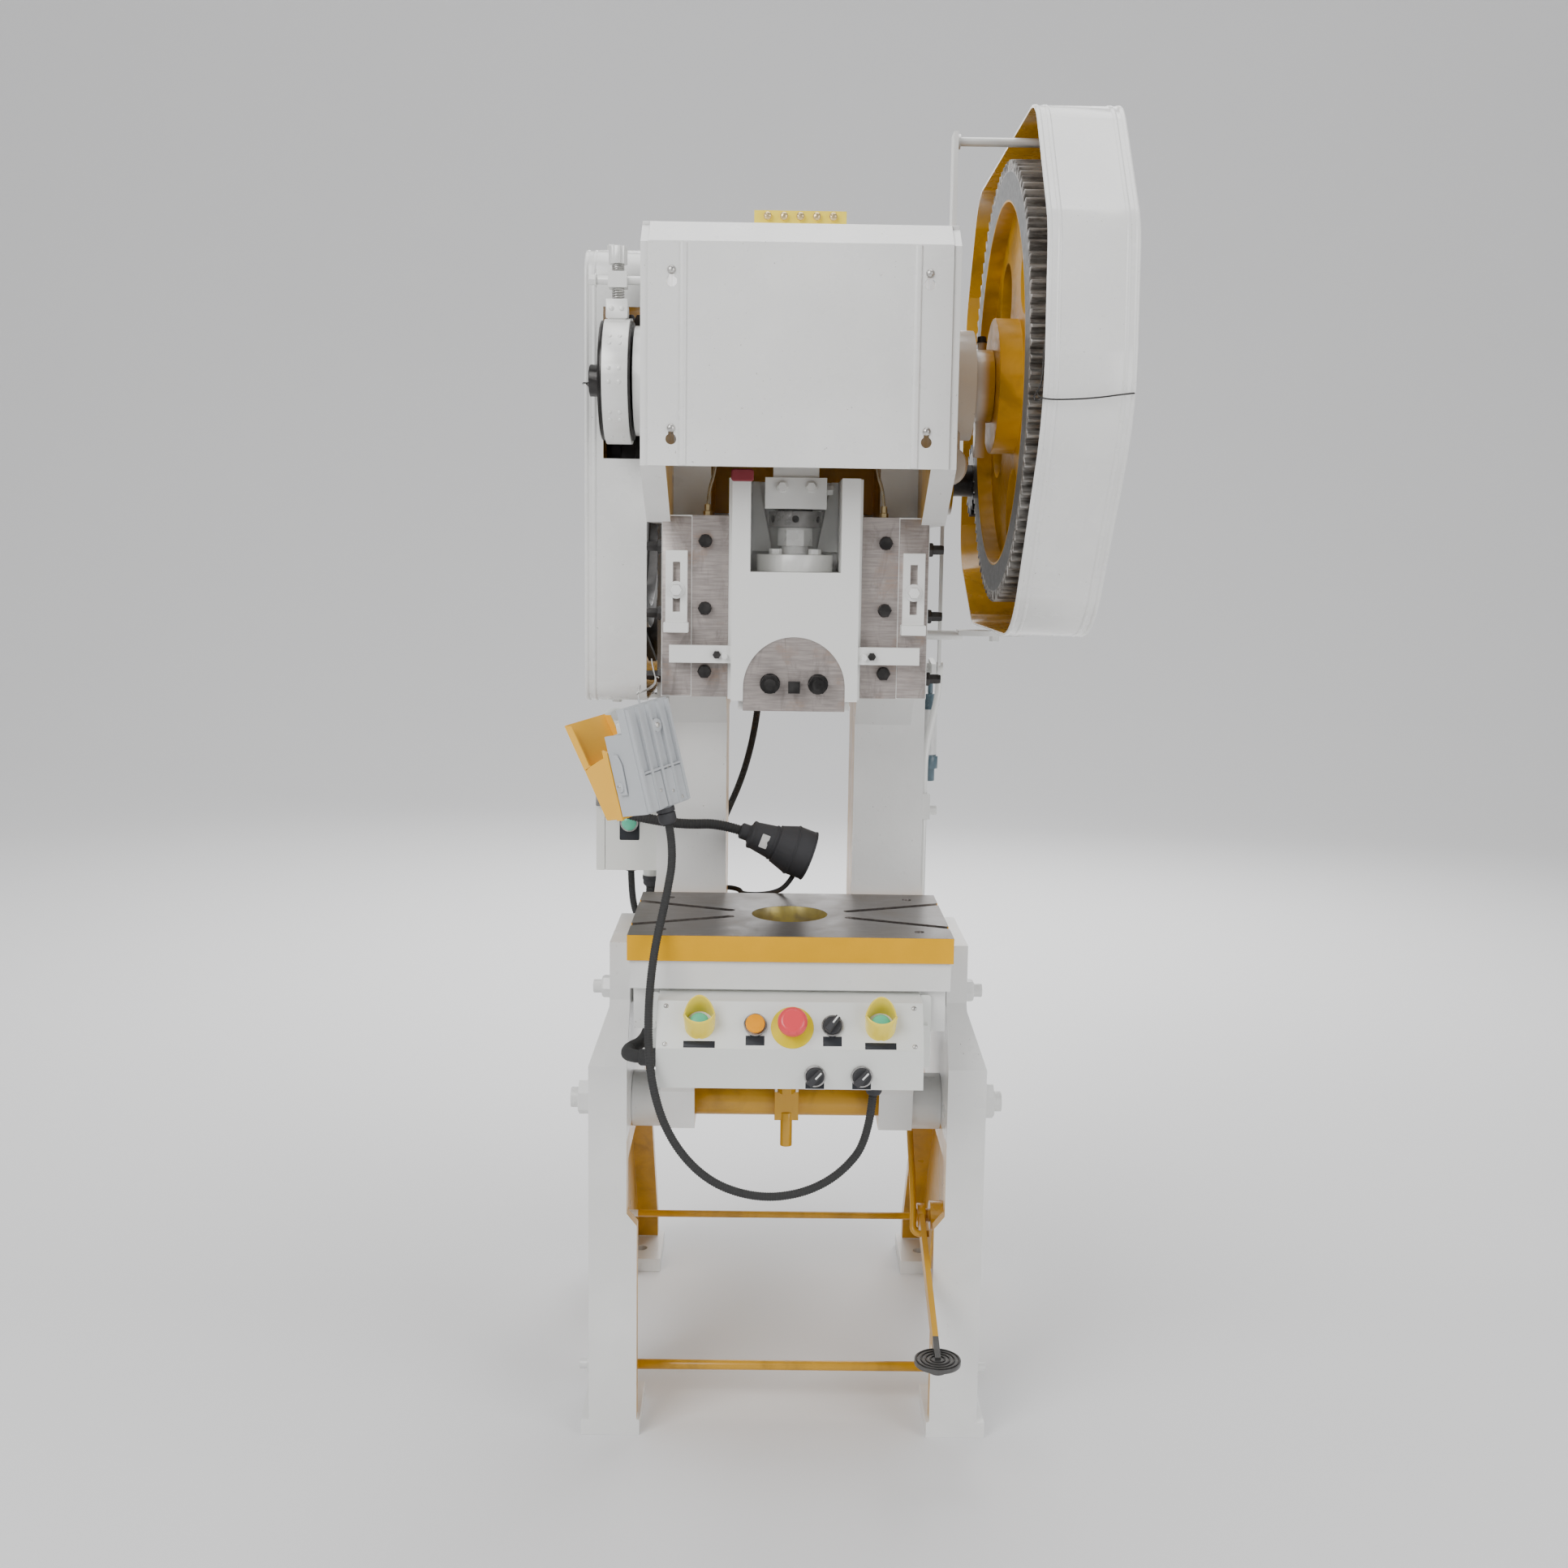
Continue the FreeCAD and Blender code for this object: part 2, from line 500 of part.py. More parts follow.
def connecting_rod():
    """Big end, shank and the split block that takes the adjusting screw."""
    pin_z = CRANK_HEIGHT + STROKE / 2
    block_bottom = POCKET_FLOOR + 87
    big = along_x(68, -BIG_END_WIDTH / 2, BIG_END_WIDTH / 2, 0, pin_z)
    neck = block(-32, 32, -34, 34, block_bottom + 43, pin_z)
    lower = block(-43, 43, -40, 40, block_bottom, block_bottom + 43)
    rod_body = fused([big, neck, lower])
    rod_body = rod_body.cut(along_x(CRANK_PIN / 2, -60, 60, 0, pin_z))
    bore = rod(SCREW / 2 + 1, (0, 0, block_bottom - 1), (0, 0, RAM_TOP + 64))
    return rod_body.cut(bore)


def crankshaft():
    """Journals, two cheeks and the eccentric pin, at the top of the stroke."""
    pin_z = CRANK_HEIGHT + STROKE / 2
    half = BIG_END_WIDTH / 2
    cheek = along_x(56, half, half + 24, 0, pin_z).fuse(along_x(50, half, half + 24, 0, CRANK_HEIGHT))
    right = [along_x(JOURNAL / 2, half + 20, 243.5, 0, CRANK_HEIGHT),
             along_x(GEAR_SHAFT / 2, 240, 352, 0, CRANK_HEIGHT),
             along_x(50, GEAR_INSIDE + 60, 352, 0, CRANK_HEIGHT)]
    left = [along_x(JOURNAL / 2, -DRUM_OUTSIDE, -half - 20, 0, CRANK_HEIGHT),
            along_x(22, -BELT_GUARD_OUTSIDE + 10, -DRUM_OUTSIDE + 1, 0, CRANK_HEIGHT)]
    pin = along_x(CRANK_PIN / 2, -half, half, 0, pin_z)
    return fused([pin, cheek, mirrored(cheek)] + right + left)


def crank_bushes():
    """Bearing bushes of the two main journals."""
    right = ring_x(JOURNAL / 2 + 8, JOURNAL / 2, 95, 243, 0, CRANK_HEIGHT)
    left = ring_x(JOURNAL / 2 + 8, JOURNAL / 2, -225, -95, 0, CRANK_HEIGHT)
    return [right, left]


# ---------------------------------------------------------------- gearing
def toothed_outline(teeth, thin):
    """Outline (y, z) of a spur gear: three points a flank, tooth thickness by the arc."""
    pitch, base = MODULE * teeth / 2, MODULE * teeth / 2 * math.cos(math.radians(20))
    root, tip = pitch - 1.25 * MODULE, pitch + 0.95 * MODULE

    def spread(radius):
        """Half angle of a tooth at a radius, from the involute."""
        roll = math.acos(min(1, base / max(radius, base)))
        roll_pitch = math.acos(base / pitch)
        involute = (math.tan(roll) - roll) - (math.tan(roll_pitch) - roll_pitch)
        return math.pi / (2 * teeth) * thin - involute

    points = []
    for k in range(teeth):
        middle = 2 * math.pi * k / teeth
        for radius, sign in ((root, -1), (pitch, -1), (tip, -1), (tip, 1), (pitch, 1), (root, 1)):
            angle = middle + sign * spread(radius)
            points.append((radius * math.cos(angle), radius * math.sin(angle)))
    return points


def toothed_disc(teeth, x0, x1, y, z, turn, thin=0.86):
    """Spur gear blank with its teeth, turned by an angle in radians."""
    outline = [(y + a * math.cos(turn) - b * math.sin(turn), z + a * math.sin(turn) + b * math.cos(turn))
               for a, b in toothed_outline(teeth, thin)]
    return plate_yz(outline, x0, x1)


def mesh_angle():
    """Direction from the crank to the drive shaft."""
    y, z = drive_centre()
    return math.atan2(z - CRANK_HEIGHT, y)


def gear():
    """Large gear: toothed rim, thin web with round holes, hub free on the crankshaft."""
    x0, x1 = GEAR_INSIDE, GEAR_INSIDE + GEAR_WIDTH
    rim_inside, hub = 245.0, 92.5
    blank = toothed_disc(GEAR_TEETH, x0, x1, 0, CRANK_HEIGHT, mesh_angle())
    blank = blank.cut(ring_x(rim_inside, hub, x0 - 1, x0 + 22, 0, CRANK_HEIGHT))
    blank = blank.cut(ring_x(rim_inside, hub, x1 - 24, x1 + 1, 0, CRANK_HEIGHT))
    blank = blank.cut(along_x(hub + 1, x1 - 10, x1 + 1, 0, CRANK_HEIGHT))
    blank = blank.fuse(along_x(hub, x0 - 10, x0 + 1, 0, CRANK_HEIGHT))
    centre = (rim_inside + hub) / 2
    for k in range(5):
        angle = math.radians(50 + 72 * k)
        blank = blank.cut(along_x(55, x0, x1, centre * math.cos(angle),
                                  CRANK_HEIGHT + centre * math.sin(angle)))
    return blank.cut(along_x(GEAR_SHAFT / 2 + FIT, x0 - 20, x1 + 20, 0, CRANK_HEIGHT))


def drive_shaft():
    """Shaft across the crown with the pinion at its right end."""
    y, z = drive_centre()
    gap_turn = mesh_angle() + math.pi + math.pi / PINION_TEETH
    pinion = toothed_disc(PINION_TEETH, GEAR_INSIDE + 2, GEAR_INSIDE + GEAR_WIDTH - 2, y, z, gap_turn)
    return fused([along_x(DRIVE_SHAFT / 2, -FLYWHEEL_OUT - 10, GEAR_INSIDE + GEAR_WIDTH, y, z), pinion])


def flywheel():
    """Belt wheel: heavy rim, web and hub, keyed to the drive shaft."""
    y, z = drive_centre()
    x0, x1 = -FLYWHEEL_OUT, -FLYWHEEL_OUT + FLYWHEEL_WIDTH
    wheel = along_x(FLYWHEEL / 2, x0, x1, y, z)
    wheel = wheel.cut(ring_x(FLYWHEEL / 2 - 36, 52, x0 - 1, x0 + 16, y, z))
    wheel = wheel.cut(ring_x(FLYWHEEL / 2 - 36, 52, x1 - 16, x1 + 1, y, z))
    return wheel.cut(along_x(DRIVE_SHAFT / 2, x0 - 1, x1 + 1, y, z))


def motor():
    """Finned motor body on feet, its axis along X."""
    body = along_x(MOTOR_BODY / 2, -130, -130 + MOTOR_LENGTH, MOTOR_Y, MOTOR_Z)
    cowl = along_x(MOTOR_BODY / 2 - 4, -130 + MOTOR_LENGTH, -85 + MOTOR_LENGTH, MOTOR_Y, MOTOR_Z)
    flange = along_x(MOTOR_BODY / 2 - 20, -152, -130, MOTOR_Y, MOTOR_Z)
    base = MOTOR_Z - MOTOR_BODY / 2 - 12
    feet = block(-110, 80, MOTOR_Y - 75, MOTOR_Y + 75, base, MOTOR_Z - MOTOR_BODY / 2 + 18)
    terminal = block(-90, 10, MOTOR_Y - 40, MOTOR_Y + 40, MOTOR_Z + MOTOR_BODY / 2 - 10,
                     MOTOR_Z + MOTOR_BODY / 2 + 45)
    solid = fused([body, cowl, flange, feet, terminal])
    return solid.cut(along_x(12 + FIT, -153, -100, MOTOR_Y, MOTOR_Z))


def motor_pulley():
    """Pulley and the motor shaft that it is keyed to."""
    x0 = -FLYWHEEL_OUT
    wheel = along_x(PULLEY / 2, x0, x0 + FLYWHEEL_WIDTH, MOTOR_Y, MOTOR_Z)
    return [wheel.cut(along_x(12, x0 - 1, x0 + FLYWHEEL_WIDTH + 1, MOTOR_Y, MOTOR_Z)),
            along_x(12, x0, -101, MOTOR_Y, MOTOR_Z)]


def belts():
    """Two belts around flywheel and pulley, each one closed loop."""
    y, z = drive_centre()
    centres = ((y, z, FLYWHEEL / 2), (MOTOR_Y, MOTOR_Z, PULLEY / 2))
    thick, width = 8.0, 13.0
    out = []
    for offset in (8, 29):
        x0 = -FLYWHEEL_OUT + offset
        inner = belt_face(centres, SOFT_GAP, x0)
        outer = belt_face(centres, SOFT_GAP + thick, x0)
        out.append(outer.cut(inner).extrude(X * width))
    return out


def belt_face(centres, extra, x):
    """Area inside a belt: two circles and their outer tangents."""
    (y1, z1, r1), (y2, z2, r2) = centres
    r1, r2 = r1 + extra, r2 + extra
    distance = math.hypot(y2 - y1, z2 - z1)
    line = math.atan2(z2 - z1, y2 - y1)
    lean = math.acos((r1 - r2) / distance)

    def at(y, z, r, angle):
        return Vector(x, y + r * math.cos(angle), z + r * math.sin(angle))

    edges = [Part.Arc(at(y1, z1, r1, line + lean), at(y1, z1, r1, line + math.pi),
                      at(y1, z1, r1, line - lean)).toShape(),
             Part.LineSegment(at(y1, z1, r1, line - lean), at(y2, z2, r2, line - lean)).toShape(),
             Part.Arc(at(y2, z2, r2, line - lean), at(y2, z2, r2, line),
                      at(y2, z2, r2, line + lean)).toShape(),
             Part.LineSegment(at(y2, z2, r2, line + lean), at(y1, z1, r1, line + lean)).toShape()]
    return Part.Face(Part.Wire(edges))


# ---------------------------------------------------------------- guards and covers
def gear_guard():
    """Deep sheet cover over the gear and pinion, open towards the frame."""
    outline = [(-345, CRANK_HEIGHT - 60, 200), (-330, 1700, 90), (-190, 1875, 80), (400, 1875, 110),
               (530, 1700, 120), (530, 1300, 90), (330, 1192, 100), (-120, 1192, 160)]
    return tray(outline, GEAR_GUARD_INSIDE, GEAR_GUARD_OUTSIDE, SHEET)


def belt_guard():
    """Sheet cover over the flywheel and belts, notched for the brake drum."""
    top = CROWN_TOP + 5
    outline = [(30, 1085, 30), (30, top, 40), (540, top, 140), (690, 1500, 120), (690, 1085, 60)]
    cover = tray(outline, -BELT_GUARD_INSIDE, -BELT_GUARD_OUTSIDE, SHEET)
    return cover.cut(block(-DRUM_OUTSIDE - 4, -COLUMN_OUTSIDE, 20, 40, CRANK_HEIGHT - 105,
                           CRANK_HEIGHT + 105))


def guard_stays():
    """Brackets that carry the two guards, each with its bolt."""
    out = []
    low = along_x(7, CHEEK_OUTSIDE, 252, 100, 1184)
    tab = block(245, 341, 80, 120, 1184, 1192)
    bolt = hexagon(13, (300, 100, 1176), (300, 100, 1184))
    out.append(fused([low, tab, bolt]))
    bar = block(COLUMN_OUTSIDE, COLUMN_OUTSIDE + 6, -60, -25, 1616, 1866)
    top = along_x(6, COLUMN_OUTSIDE, GEAR_GUARD_OUTSIDE - SHEET, -42, 1856)
    out.append(fused([bar, top, along_x(10, COLUMN_OUTSIDE, COLUMN_OUTSIDE + 10, -42, 1856)]))
    lid = CROWN_TOP + 5
    flat = block(-285, -150, 88, 112, lid, lid + 5)
    out.append(flat.fuse(hexagon(13, (-268, 100, lid + 5), (-268, 100, lid + 14))).removeSplitter())
    under = block(-290, -COLUMN_OUTSIDE, 172, 196, 1079, 1085)
    out.append(under.fuse(hexagon(13, (-268, 184, 1071), (-268, 184, 1079))).removeSplitter())
    return out


def crown_cover():
    """Folded front sheet with keyhole slots and two pressed lines."""
    front, lip = -CROWN_FRONT - SHEET, -CROWN_FRONT + 34
    outline = [(front, CROWN_FLOOR), (front, 1694), (lip, CROWN_TOP + 5), (lip, CROWN_TOP + 1),
               (-CROWN_FRONT, 1693), (-CROWN_FRONT, CROWN_FLOOR)]
    sheet = plate_yz(outline, -195, 195)
    for x in (-165, 165):
        for z in (CROWN_FLOOR + 42, 1652):
            slot = rod(7, (x, front - 1, z - 8), (x, -CROWN_FRONT + 1, z - 8))
            slot = slot.fuse(block(x - 3.5, x + 3.5, front - 1, -CROWN_FRONT + 1, z - 8, z + 9))
            sheet = sheet.cut(slot)
    return sheet


def crown_lid():
    """Flat cover over the crown."""
    return block(-COLUMN_OUTSIDE, COLUMN_OUTSIDE, -CROWN_FRONT + 34, 230, CROWN_TOP, CROWN_TOP + 5)


def oil_distributor():
    """Oil block with five needle screws."""
    body = block(-62, 62, -72, -50, CROWN_TOP + 5, CROWN_TOP + 38)
    screws = [rod(4.5, (x, -72, CROWN_TOP + 30), (x, -77, CROWN_TOP + 30)) for x in (-44, -22, 0, 22, 44)]
    return fused([body] + screws)


# ---------------------------------------------------------------- brake and clutch
def brake_drum():
    """Drum keyed to the crankshaft's left end."""
    return ring_x(BRAKE_DRUM / 2, JOURNAL / 2, -DRUM_OUTSIDE, -DRUM_INSIDE, 0, CRANK_HEIGHT)


def brake_band():
    """Band around the drum, open at the top, with its two eyes."""
    inner = BRAKE_DRUM / 2 + SOFT_GAP
    x0, x1 = -DRUM_OUTSIDE + 4, -DRUM_INSIDE - 3
    band = ring_x(inner + 5, inner, x0, x1, 0, CRANK_HEIGHT)
    mouth = block(x0 - 1, x1 + 1, -34, 8, CRANK_HEIGHT + 40, CRANK_HEIGHT + 120)
    eyes = [block(x0 + 6, x1 - 6, y, y + 8, CRANK_HEIGHT + inner - 9, CRANK_HEIGHT + inner + 22)
            for y in (-40, 8)]
    return fused([band.cut(mouth)] + eyes).cut(along_x(inner, x0 - 1, x1 + 1, 0, CRANK_HEIGHT))


def brake_rod():
    """Tension rod through the pivot block that hangs on the frame."""
    z = CRANK_HEIGHT + BRAKE_DRUM / 2 + 14
    stem = rod(5, (-249, -18, z), (-249, -18, 1692))
    foot = block(-262, -236, -32, 8, z - 8, z + 4)
    pivot = block(-262, -236, -30, -6, 1660, 1682)
    pin = along_x(6, -280, -COLUMN_OUTSIDE, -18, 1671)
    return fused([stem, foot, pivot, pin])


def brake_knob():
    """Star knob on the tension rod."""
    knob = rod(13, (-249, -18, 1692 + SOFT_GAP), (-249, -18, 1716))
    for k in range(6):
        angle = k * math.pi / 3
        x, y = -249 + 15 * math.cos(angle), -18 + 15 * math.sin(angle)
        knob = knob.cut(rod(3.5, (x, y, 1690), (x, y, 1720)))
    return knob


def clutch_collar():
    """Collar on the crankshaft with the tail that the clutch key carries."""
    ring = ring_x(50, GEAR_SHAFT / 2, 244, 271, 0, CRANK_HEIGHT)
    tail = block(250, 264, -11, 11, CRANK_HEIGHT - 98, CRANK_HEIGHT - 45)
    return fused([ring, tail, rod(6, (257, 0, CRANK_HEIGHT + 49), (257, 0, CRANK_HEIGHT + 60))])


# ---------------------------------------------------------------- stand
def leg():
    """Right-hand leg: channel section opening inwards, head plate with the tilt slot."""
    side = [(-LEG_FRONT, 0), (-LEG_FRONT, LEG_SHOULDER), (-5, 650), (-5, HEAD_TOP), (195, HEAD_TOP),
            (300, LEG_SHOULDER), (FOOT_BACK, 60), (FOOT_BACK, 0)]
    web_x = LEG_OUTSIDE - LEG_WEB
    web = plate_yz(side, web_x, LEG_OUTSIDE)
    head_xz = [(LEG_INSIDE, 420), (LEG_OUTSIDE, 420), (LEG_OUTSIDE, LEG_SHOULDER), (HEAD_OUTSIDE, 640),
               (HEAD_OUTSIDE, HEAD_TOP), (LEG_INSIDE, HEAD_TOP)]
    head = plate_xz(head_xz, -LEG_FRONT, 320).common(plate_yz(side, LEG_INSIDE, LEG_OUTSIDE))
    keep_top = plate_xz([(FOOT_INSIDE, -1), (LEG_OUTSIDE, -1), (LEG_OUTSIDE, LEG_SHOULDER),
                         (HEAD_OUTSIDE, 640), (HEAD_OUTSIDE, HEAD_TOP), (FOOT_INSIDE, HEAD_TOP)], -70, 700)
    web = web.common(keep_top)
    front = block(LEG_INSIDE, LEG_OUTSIDE, -LEG_FRONT, -LEG_FRONT + LEG_FLANGE, 0, 430)
    shin = plate_xz([(217, 0), (217, 325), (LEG_INSIDE + 1, 345), (LEG_INSIDE + 1, 0)],
                    -LEG_FRONT, -LEG_FRONT + LEG_FLANGE)
    slope = math.atan2(LEG_SHOULDER - 60, FOOT_BACK - 300)
    dy = LEG_FLANGE / math.sin(slope)
    rear = plate_yz([(300, LEG_SHOULDER), (FOOT_BACK, 60), (FOOT_BACK, 0), (FOOT_BACK - dy, 0),
                     (FOOT_BACK - dy, 60), (300 - dy, LEG_SHOULDER)], 230, web_x + 1)
    foot = block(FOOT_INSIDE, FOOT_OUTSIDE, -LEG_FRONT, 60, 0, FOOT_THICK)
    heel = block(FOOT_INSIDE + 6, FOOT_OUTSIDE, FOOT_BACK - 130, FOOT_BACK, 0, FOOT_THICK)
    boss = along_x(22, 222, web_x + 1, PEDAL_PIVOT_Y, PEDAL_PIVOT_Z)
    solid = fused([web, head, front, shin, rear, foot, heel])
    arch = rounded_wire([(85, -20, 5), (160, 175, 30), (400, 175, 30), (510, -20, 5)], web_x - 5)
    solid = solid.cut(Part.Face(arch).extrude(X * 50))
    solid = solid.cut(along_x(TRUNNION_SHAFT / 2, LEG_INSIDE - 1, LEG_OUTSIDE + 1, TRUNNION_Y, TRUNNION_Z))
    solid = solid.cut(tilt_slot())
    solid = solid.cut(block(HEAD_OUTSIDE, LEG_OUTSIDE + 1, TRUNNION_Y - 28, 250, HEAD_FACE, HEAD_TOP))
    for z, y, d in ((LOWER_ROD_Z, LOWER_ROD_Y, LOWER_ROD), (UPPER_ROD_Z, UPPER_ROD_Y, UPPER_ROD)):
        solid = solid.cut(along_x(d / 2, web_x - 20, FOOT_OUTSIDE + 5, y, z))
    for y in (BOLT_CENTRE - ANCHOR_SPACING / 2, BOLT_CENTRE + ANCHOR_SPACING / 2):
        well = rod(18, (ANCHOR_X, y, FOOT_THICK), (ANCHOR_X, y, FOOT_THICK + 30))
        solid = solid.cut(rod(ANCHOR_HOLE / 2, (ANCHOR_X, y, -1), (ANCHOR_X, y, FOOT_THICK + 1))).cut(well)
    return solid, boss


def tilt_slot():
    """Arc slot about the trunnion for the lock bolt."""
    outer = LOCK_RADIUS + LOCK_BOLT / 2 + 1
    inner = LOCK_RADIUS - LOCK_BOLT / 2 - 1
    band = ring_x(outer, inner, LEG_INSIDE - 2, LEG_OUTSIDE + 2, TRUNNION_Y, TRUNNION_Z)
    far = 2 * LOCK_RADIUS
    lean = math.radians(TILT)
    wedge = plate_yz([(TRUNNION_Y, TRUNNION_Z), (TRUNNION_Y, TRUNNION_Z + far),
                      (TRUNNION_Y + far * math.sin(lean), TRUNNION_Z + far * math.cos(lean))],
                     LEG_INSIDE - 2, LEG_OUTSIDE + 2)
    ends = [along_x(LOCK_BOLT / 2 + 1, LEG_INSIDE - 2, LEG_OUTSIDE + 2,
                    TRUNNION_Y + LOCK_RADIUS * math.sin(a), TRUNNION_Z + LOCK_RADIUS * math.cos(a))
            for a in (0, lean)]
    return band.common(wedge).fuse(ends)


def lock_bolts():
    """Studs with washers and nuts that clamp the frame to the leg heads."""
    out = []
    z = TRUNNION_Z + LOCK_RADIUS
    for side in (1, -1):
        start = side * (BED_WIDTH / 2 - BED_WALL)
        face = side * (HEAD_OUTSIDE + SOFT_GAP)
        shank = rod(LOCK_BOLT / 2, (start, TRUNNION_Y, z), (side * 304, TRUNNION_Y, z))
        washer = rod(20, (face, TRUNNION_Y, z), (face + side * 4, TRUNNION_Y, z))
        nut = hexagon(30, (face + side * 4, TRUNNION_Y, z), (face + side * 22, TRUNNION_Y, z))
        out.append(fused([shank, washer, nut]))
    return out


def stand_rods():
    """Two tie rods between the legs with their nuts."""
    out = []
    for z, y, d in ((LOWER_ROD_Z, LOWER_ROD_Y, LOWER_ROD), (UPPER_ROD_Z, UPPER_ROD_Y, UPPER_ROD)):
        out.append(along_x(d / 2, -LEG_OUTSIDE - 24, LEG_OUTSIDE + 24, y, z))
        for side in (1, -1):
            for x0, x1 in ((LEG_OUTSIDE, LEG_OUTSIDE + 12),
                           (LEG_OUTSIDE - LEG_WEB - 12, LEG_OUTSIDE - LEG_WEB)):
                nut = hexagon(d + 9, (side * x0, y, z), (side * x1, y, z))
                out.append(nut.cut(along_x(d / 2, -400, 400, y, z)))
    return out


def trunnion_shaft():
    """Shaft that the frame tilts on, with threaded ends and a centre ejector block."""
    shaft = along_x(TRUNNION_SHAFT / 2, -LEG_OUTSIDE, LEG_OUTSIDE, TRUNNION_Y, TRUNNION_Z)
    ends = along_x(15, -LEG_OUTSIDE - 38, LEG_OUTSIDE + 38, TRUNNION_Y, TRUNNION_Z)
    return fused([shaft, ends])


def trunnion_nuts():
    """Nuts with washers outside the legs, and the stop nut and stud at the shaft's middle."""
    out = []
    for side in (1, -1):
        x = side * LEG_OUTSIDE
        nut = hexagon(46, (x + side * 4, TRUNNION_Y, TRUNNION_Z), (x + side * 26, TRUNNION_Y, TRUNNION_Z))
        washer = rod(30, (x, TRUNNION_Y, TRUNNION_Z), (x + side * 4, TRUNNION_Y, TRUNNION_Z))
        out.append(nut.fuse(washer).cut(along_x(15, -400, 400, TRUNNION_Y, TRUNNION_Z)))
    cap = block(-18, 18, TRUNNION_Y - 34, TRUNNION_Y + 34, TRUNNION_Z - 22, TRUNNION_Z + 22)
    stud = rod(9, (0, TRUNNION_Y - 29, TRUNNION_Z - 62), (0, TRUNNION_Y - 29, TRUNNION_Z - 10))
    nut = hexagon(24, (0, TRUNNION_Y - 29, TRUNNION_Z + 20), (0, TRUNNION_Y - 29, TRUNNION_Z + 36))
    clamp = fused([cap, stud, nut])
    out.append(clamp.cut(along_x(TRUNNION_SHAFT / 2, -60, 60, TRUNNION_Y, TRUNNION_Z)))
    return out


# ---------------------------------------------------------------- operating gear
def pedal():
    """Treadle disc on a flat lever, and the pin that it turns on."""
    angle = math.atan2(PEDAL_PIVOT_Z - PEDAL_Z, PEDAL_PIVOT_Y - PEDAL_Y)
    length = math.hypot(PEDAL_PIVOT_Z - PEDAL_Z, PEDAL_PIVOT_Y - PEDAL_Y)
    bar = block(205, 213, -length, 0, -13, 13).fuse(along_x(18, 203, 215, 0, 0))
    bar.rotate(Vector(0, 0, 0), X, math.degrees(angle))
    bar.translate(Vector(0, PEDAL_PIVOT_Y, PEDAL_PIVOT_Z))
    disc = rod(PEDAL_RADIUS, (209, PEDAL_Y, PEDAL_Z + 2), (209, PEDAL_Y, PEDAL_Z + 8))
    lever = fused([bar, disc, rod(12, (209, PEDAL_Y, PEDAL_Z - 10), (209, PEDAL_Y, PEDAL_Z + 3))])
    lever = lever.cut(along_x(10, 200, 220, PEDAL_PIVOT_Y, PEDAL_PIVOT_Z))
    lever = lever.cut(along_x(ROD / 2 + 1, 200, 220, HOOK_Y, hook_z()))
    return [lever, along_x(10, 200, 260, PEDAL_PIVOT_Y, PEDAL_PIVOT_Z)]


def hook_z():
    """Height of the pull rod's hook on the pedal lever."""
    share = (PEDAL_PIVOT_Y - HOOK_Y) / (PEDAL_PIVOT_Y - PEDAL_Y)
    return PEDAL_PIVOT_Z - share * (PEDAL_PIVOT_Z - PEDAL_Z)


def pull_rod():
    """Hooked rod from the pedal lever up to the frame's rod."""
    z = hook_z()
    points = [(218, HOOK_Y, z), (LINK_X - 4, HOOK_Y, z), (LINK_X - 2, HOOK_Y + 30, z + 40),
              (LINK_X - 1, ROD_Y - 20, 440), (LINK_X, ROD_Y, 530)]
    return cord("pull rod", points, ROD)


def trip_rod():
    """Cranked rod on the frame's right side with its clamp, and the flat bar above it."""
    points = [(231, ROD_Y, TRIP_Z - 8), (230, ROD_Y, 1085), (ROD_X, ROD_Y, 1000), (ROD_X + 0.2, ROD_Y, 930)]
    bent = cord("trip rod", points, ROD)
    eye = along_x(12, 226.5, 236, ROD_Y, TRIP_Z)
    flat = block(228, 232, ROD_Y - 10, ROD_Y + 10, TRIP_Z, 1400)
    clamp = block(ROD_X - 6, ROD_X + 9, ROD_Y - 10, ROD_Y + 10, 890, 930)
    screw = hexagon(13, (ROD_X + 9, ROD_Y, 903), (ROD_X + 20, ROD_Y, 903))
    lower = rod(ROD / 2, (ROD_X, ROD_Y, 470), (ROD_X, ROD_Y, 890))
    return [fused([bent, eye, flat]), fused([clamp, screw]), lower]


def trip_lever():
    """Bell crank between the trip rod and the air cylinder."""
    arm = plate_yz([(TRIP_PIVOT_Y - 60, TRIP_Z - 9), (TRIP_PIVOT_Y - 60, TRIP_Z + 9),
                    (TRIP_PIVOT_Y, TRIP_Z + 15), (TRIP_PIVOT_Y + 16, TRIP_Z),
                    (TRIP_PIVOT_Y, TRIP_Z - 15)], 218, 225.5)
    pin = along_x(8, COLUMN_OUTSIDE + 0.3, 234, TRIP_PIVOT_Y, TRIP_Z)
    return fused([arm, pin])


def trip_cylinder():
    """Small air cylinder that works the trip lever."""
    y, x = ROD_Y + 34, COLUMN_OUTSIDE + 16
    barrel = rod(12, (x, y, 985), (x, y, 1066))
    caps = [rod(14.5, (x, y, z), (x, y, z + 20)) for z in (966, 1065)]
    bracket = block(COLUMN_OUTSIDE, x, y - 8, y + 8, 1069, 1081)
    piston = rod(4, (x, y, 1080), (x, y, 1102))
    foot = rod(10, (x, y, 946), (x, y, 966))
    return fused([barrel, bracket, piston, foot] + caps)


# ---------------------------------------------------------------- control box
def panel_frame():
    """Middle of the sloping panel, its outward direction and its slope in degrees."""
    dy, dz = BOX_FRONT - BOX_LIP, BOX_TOP - BOX_BREAK
    length = math.hypot(dy, dz)
    middle = Vector(0, -(BOX_FRONT + BOX_LIP) / 2, (BOX_TOP + BOX_BREAK) / 2)
    return middle, Vector(0, -dz / length, dy / length)


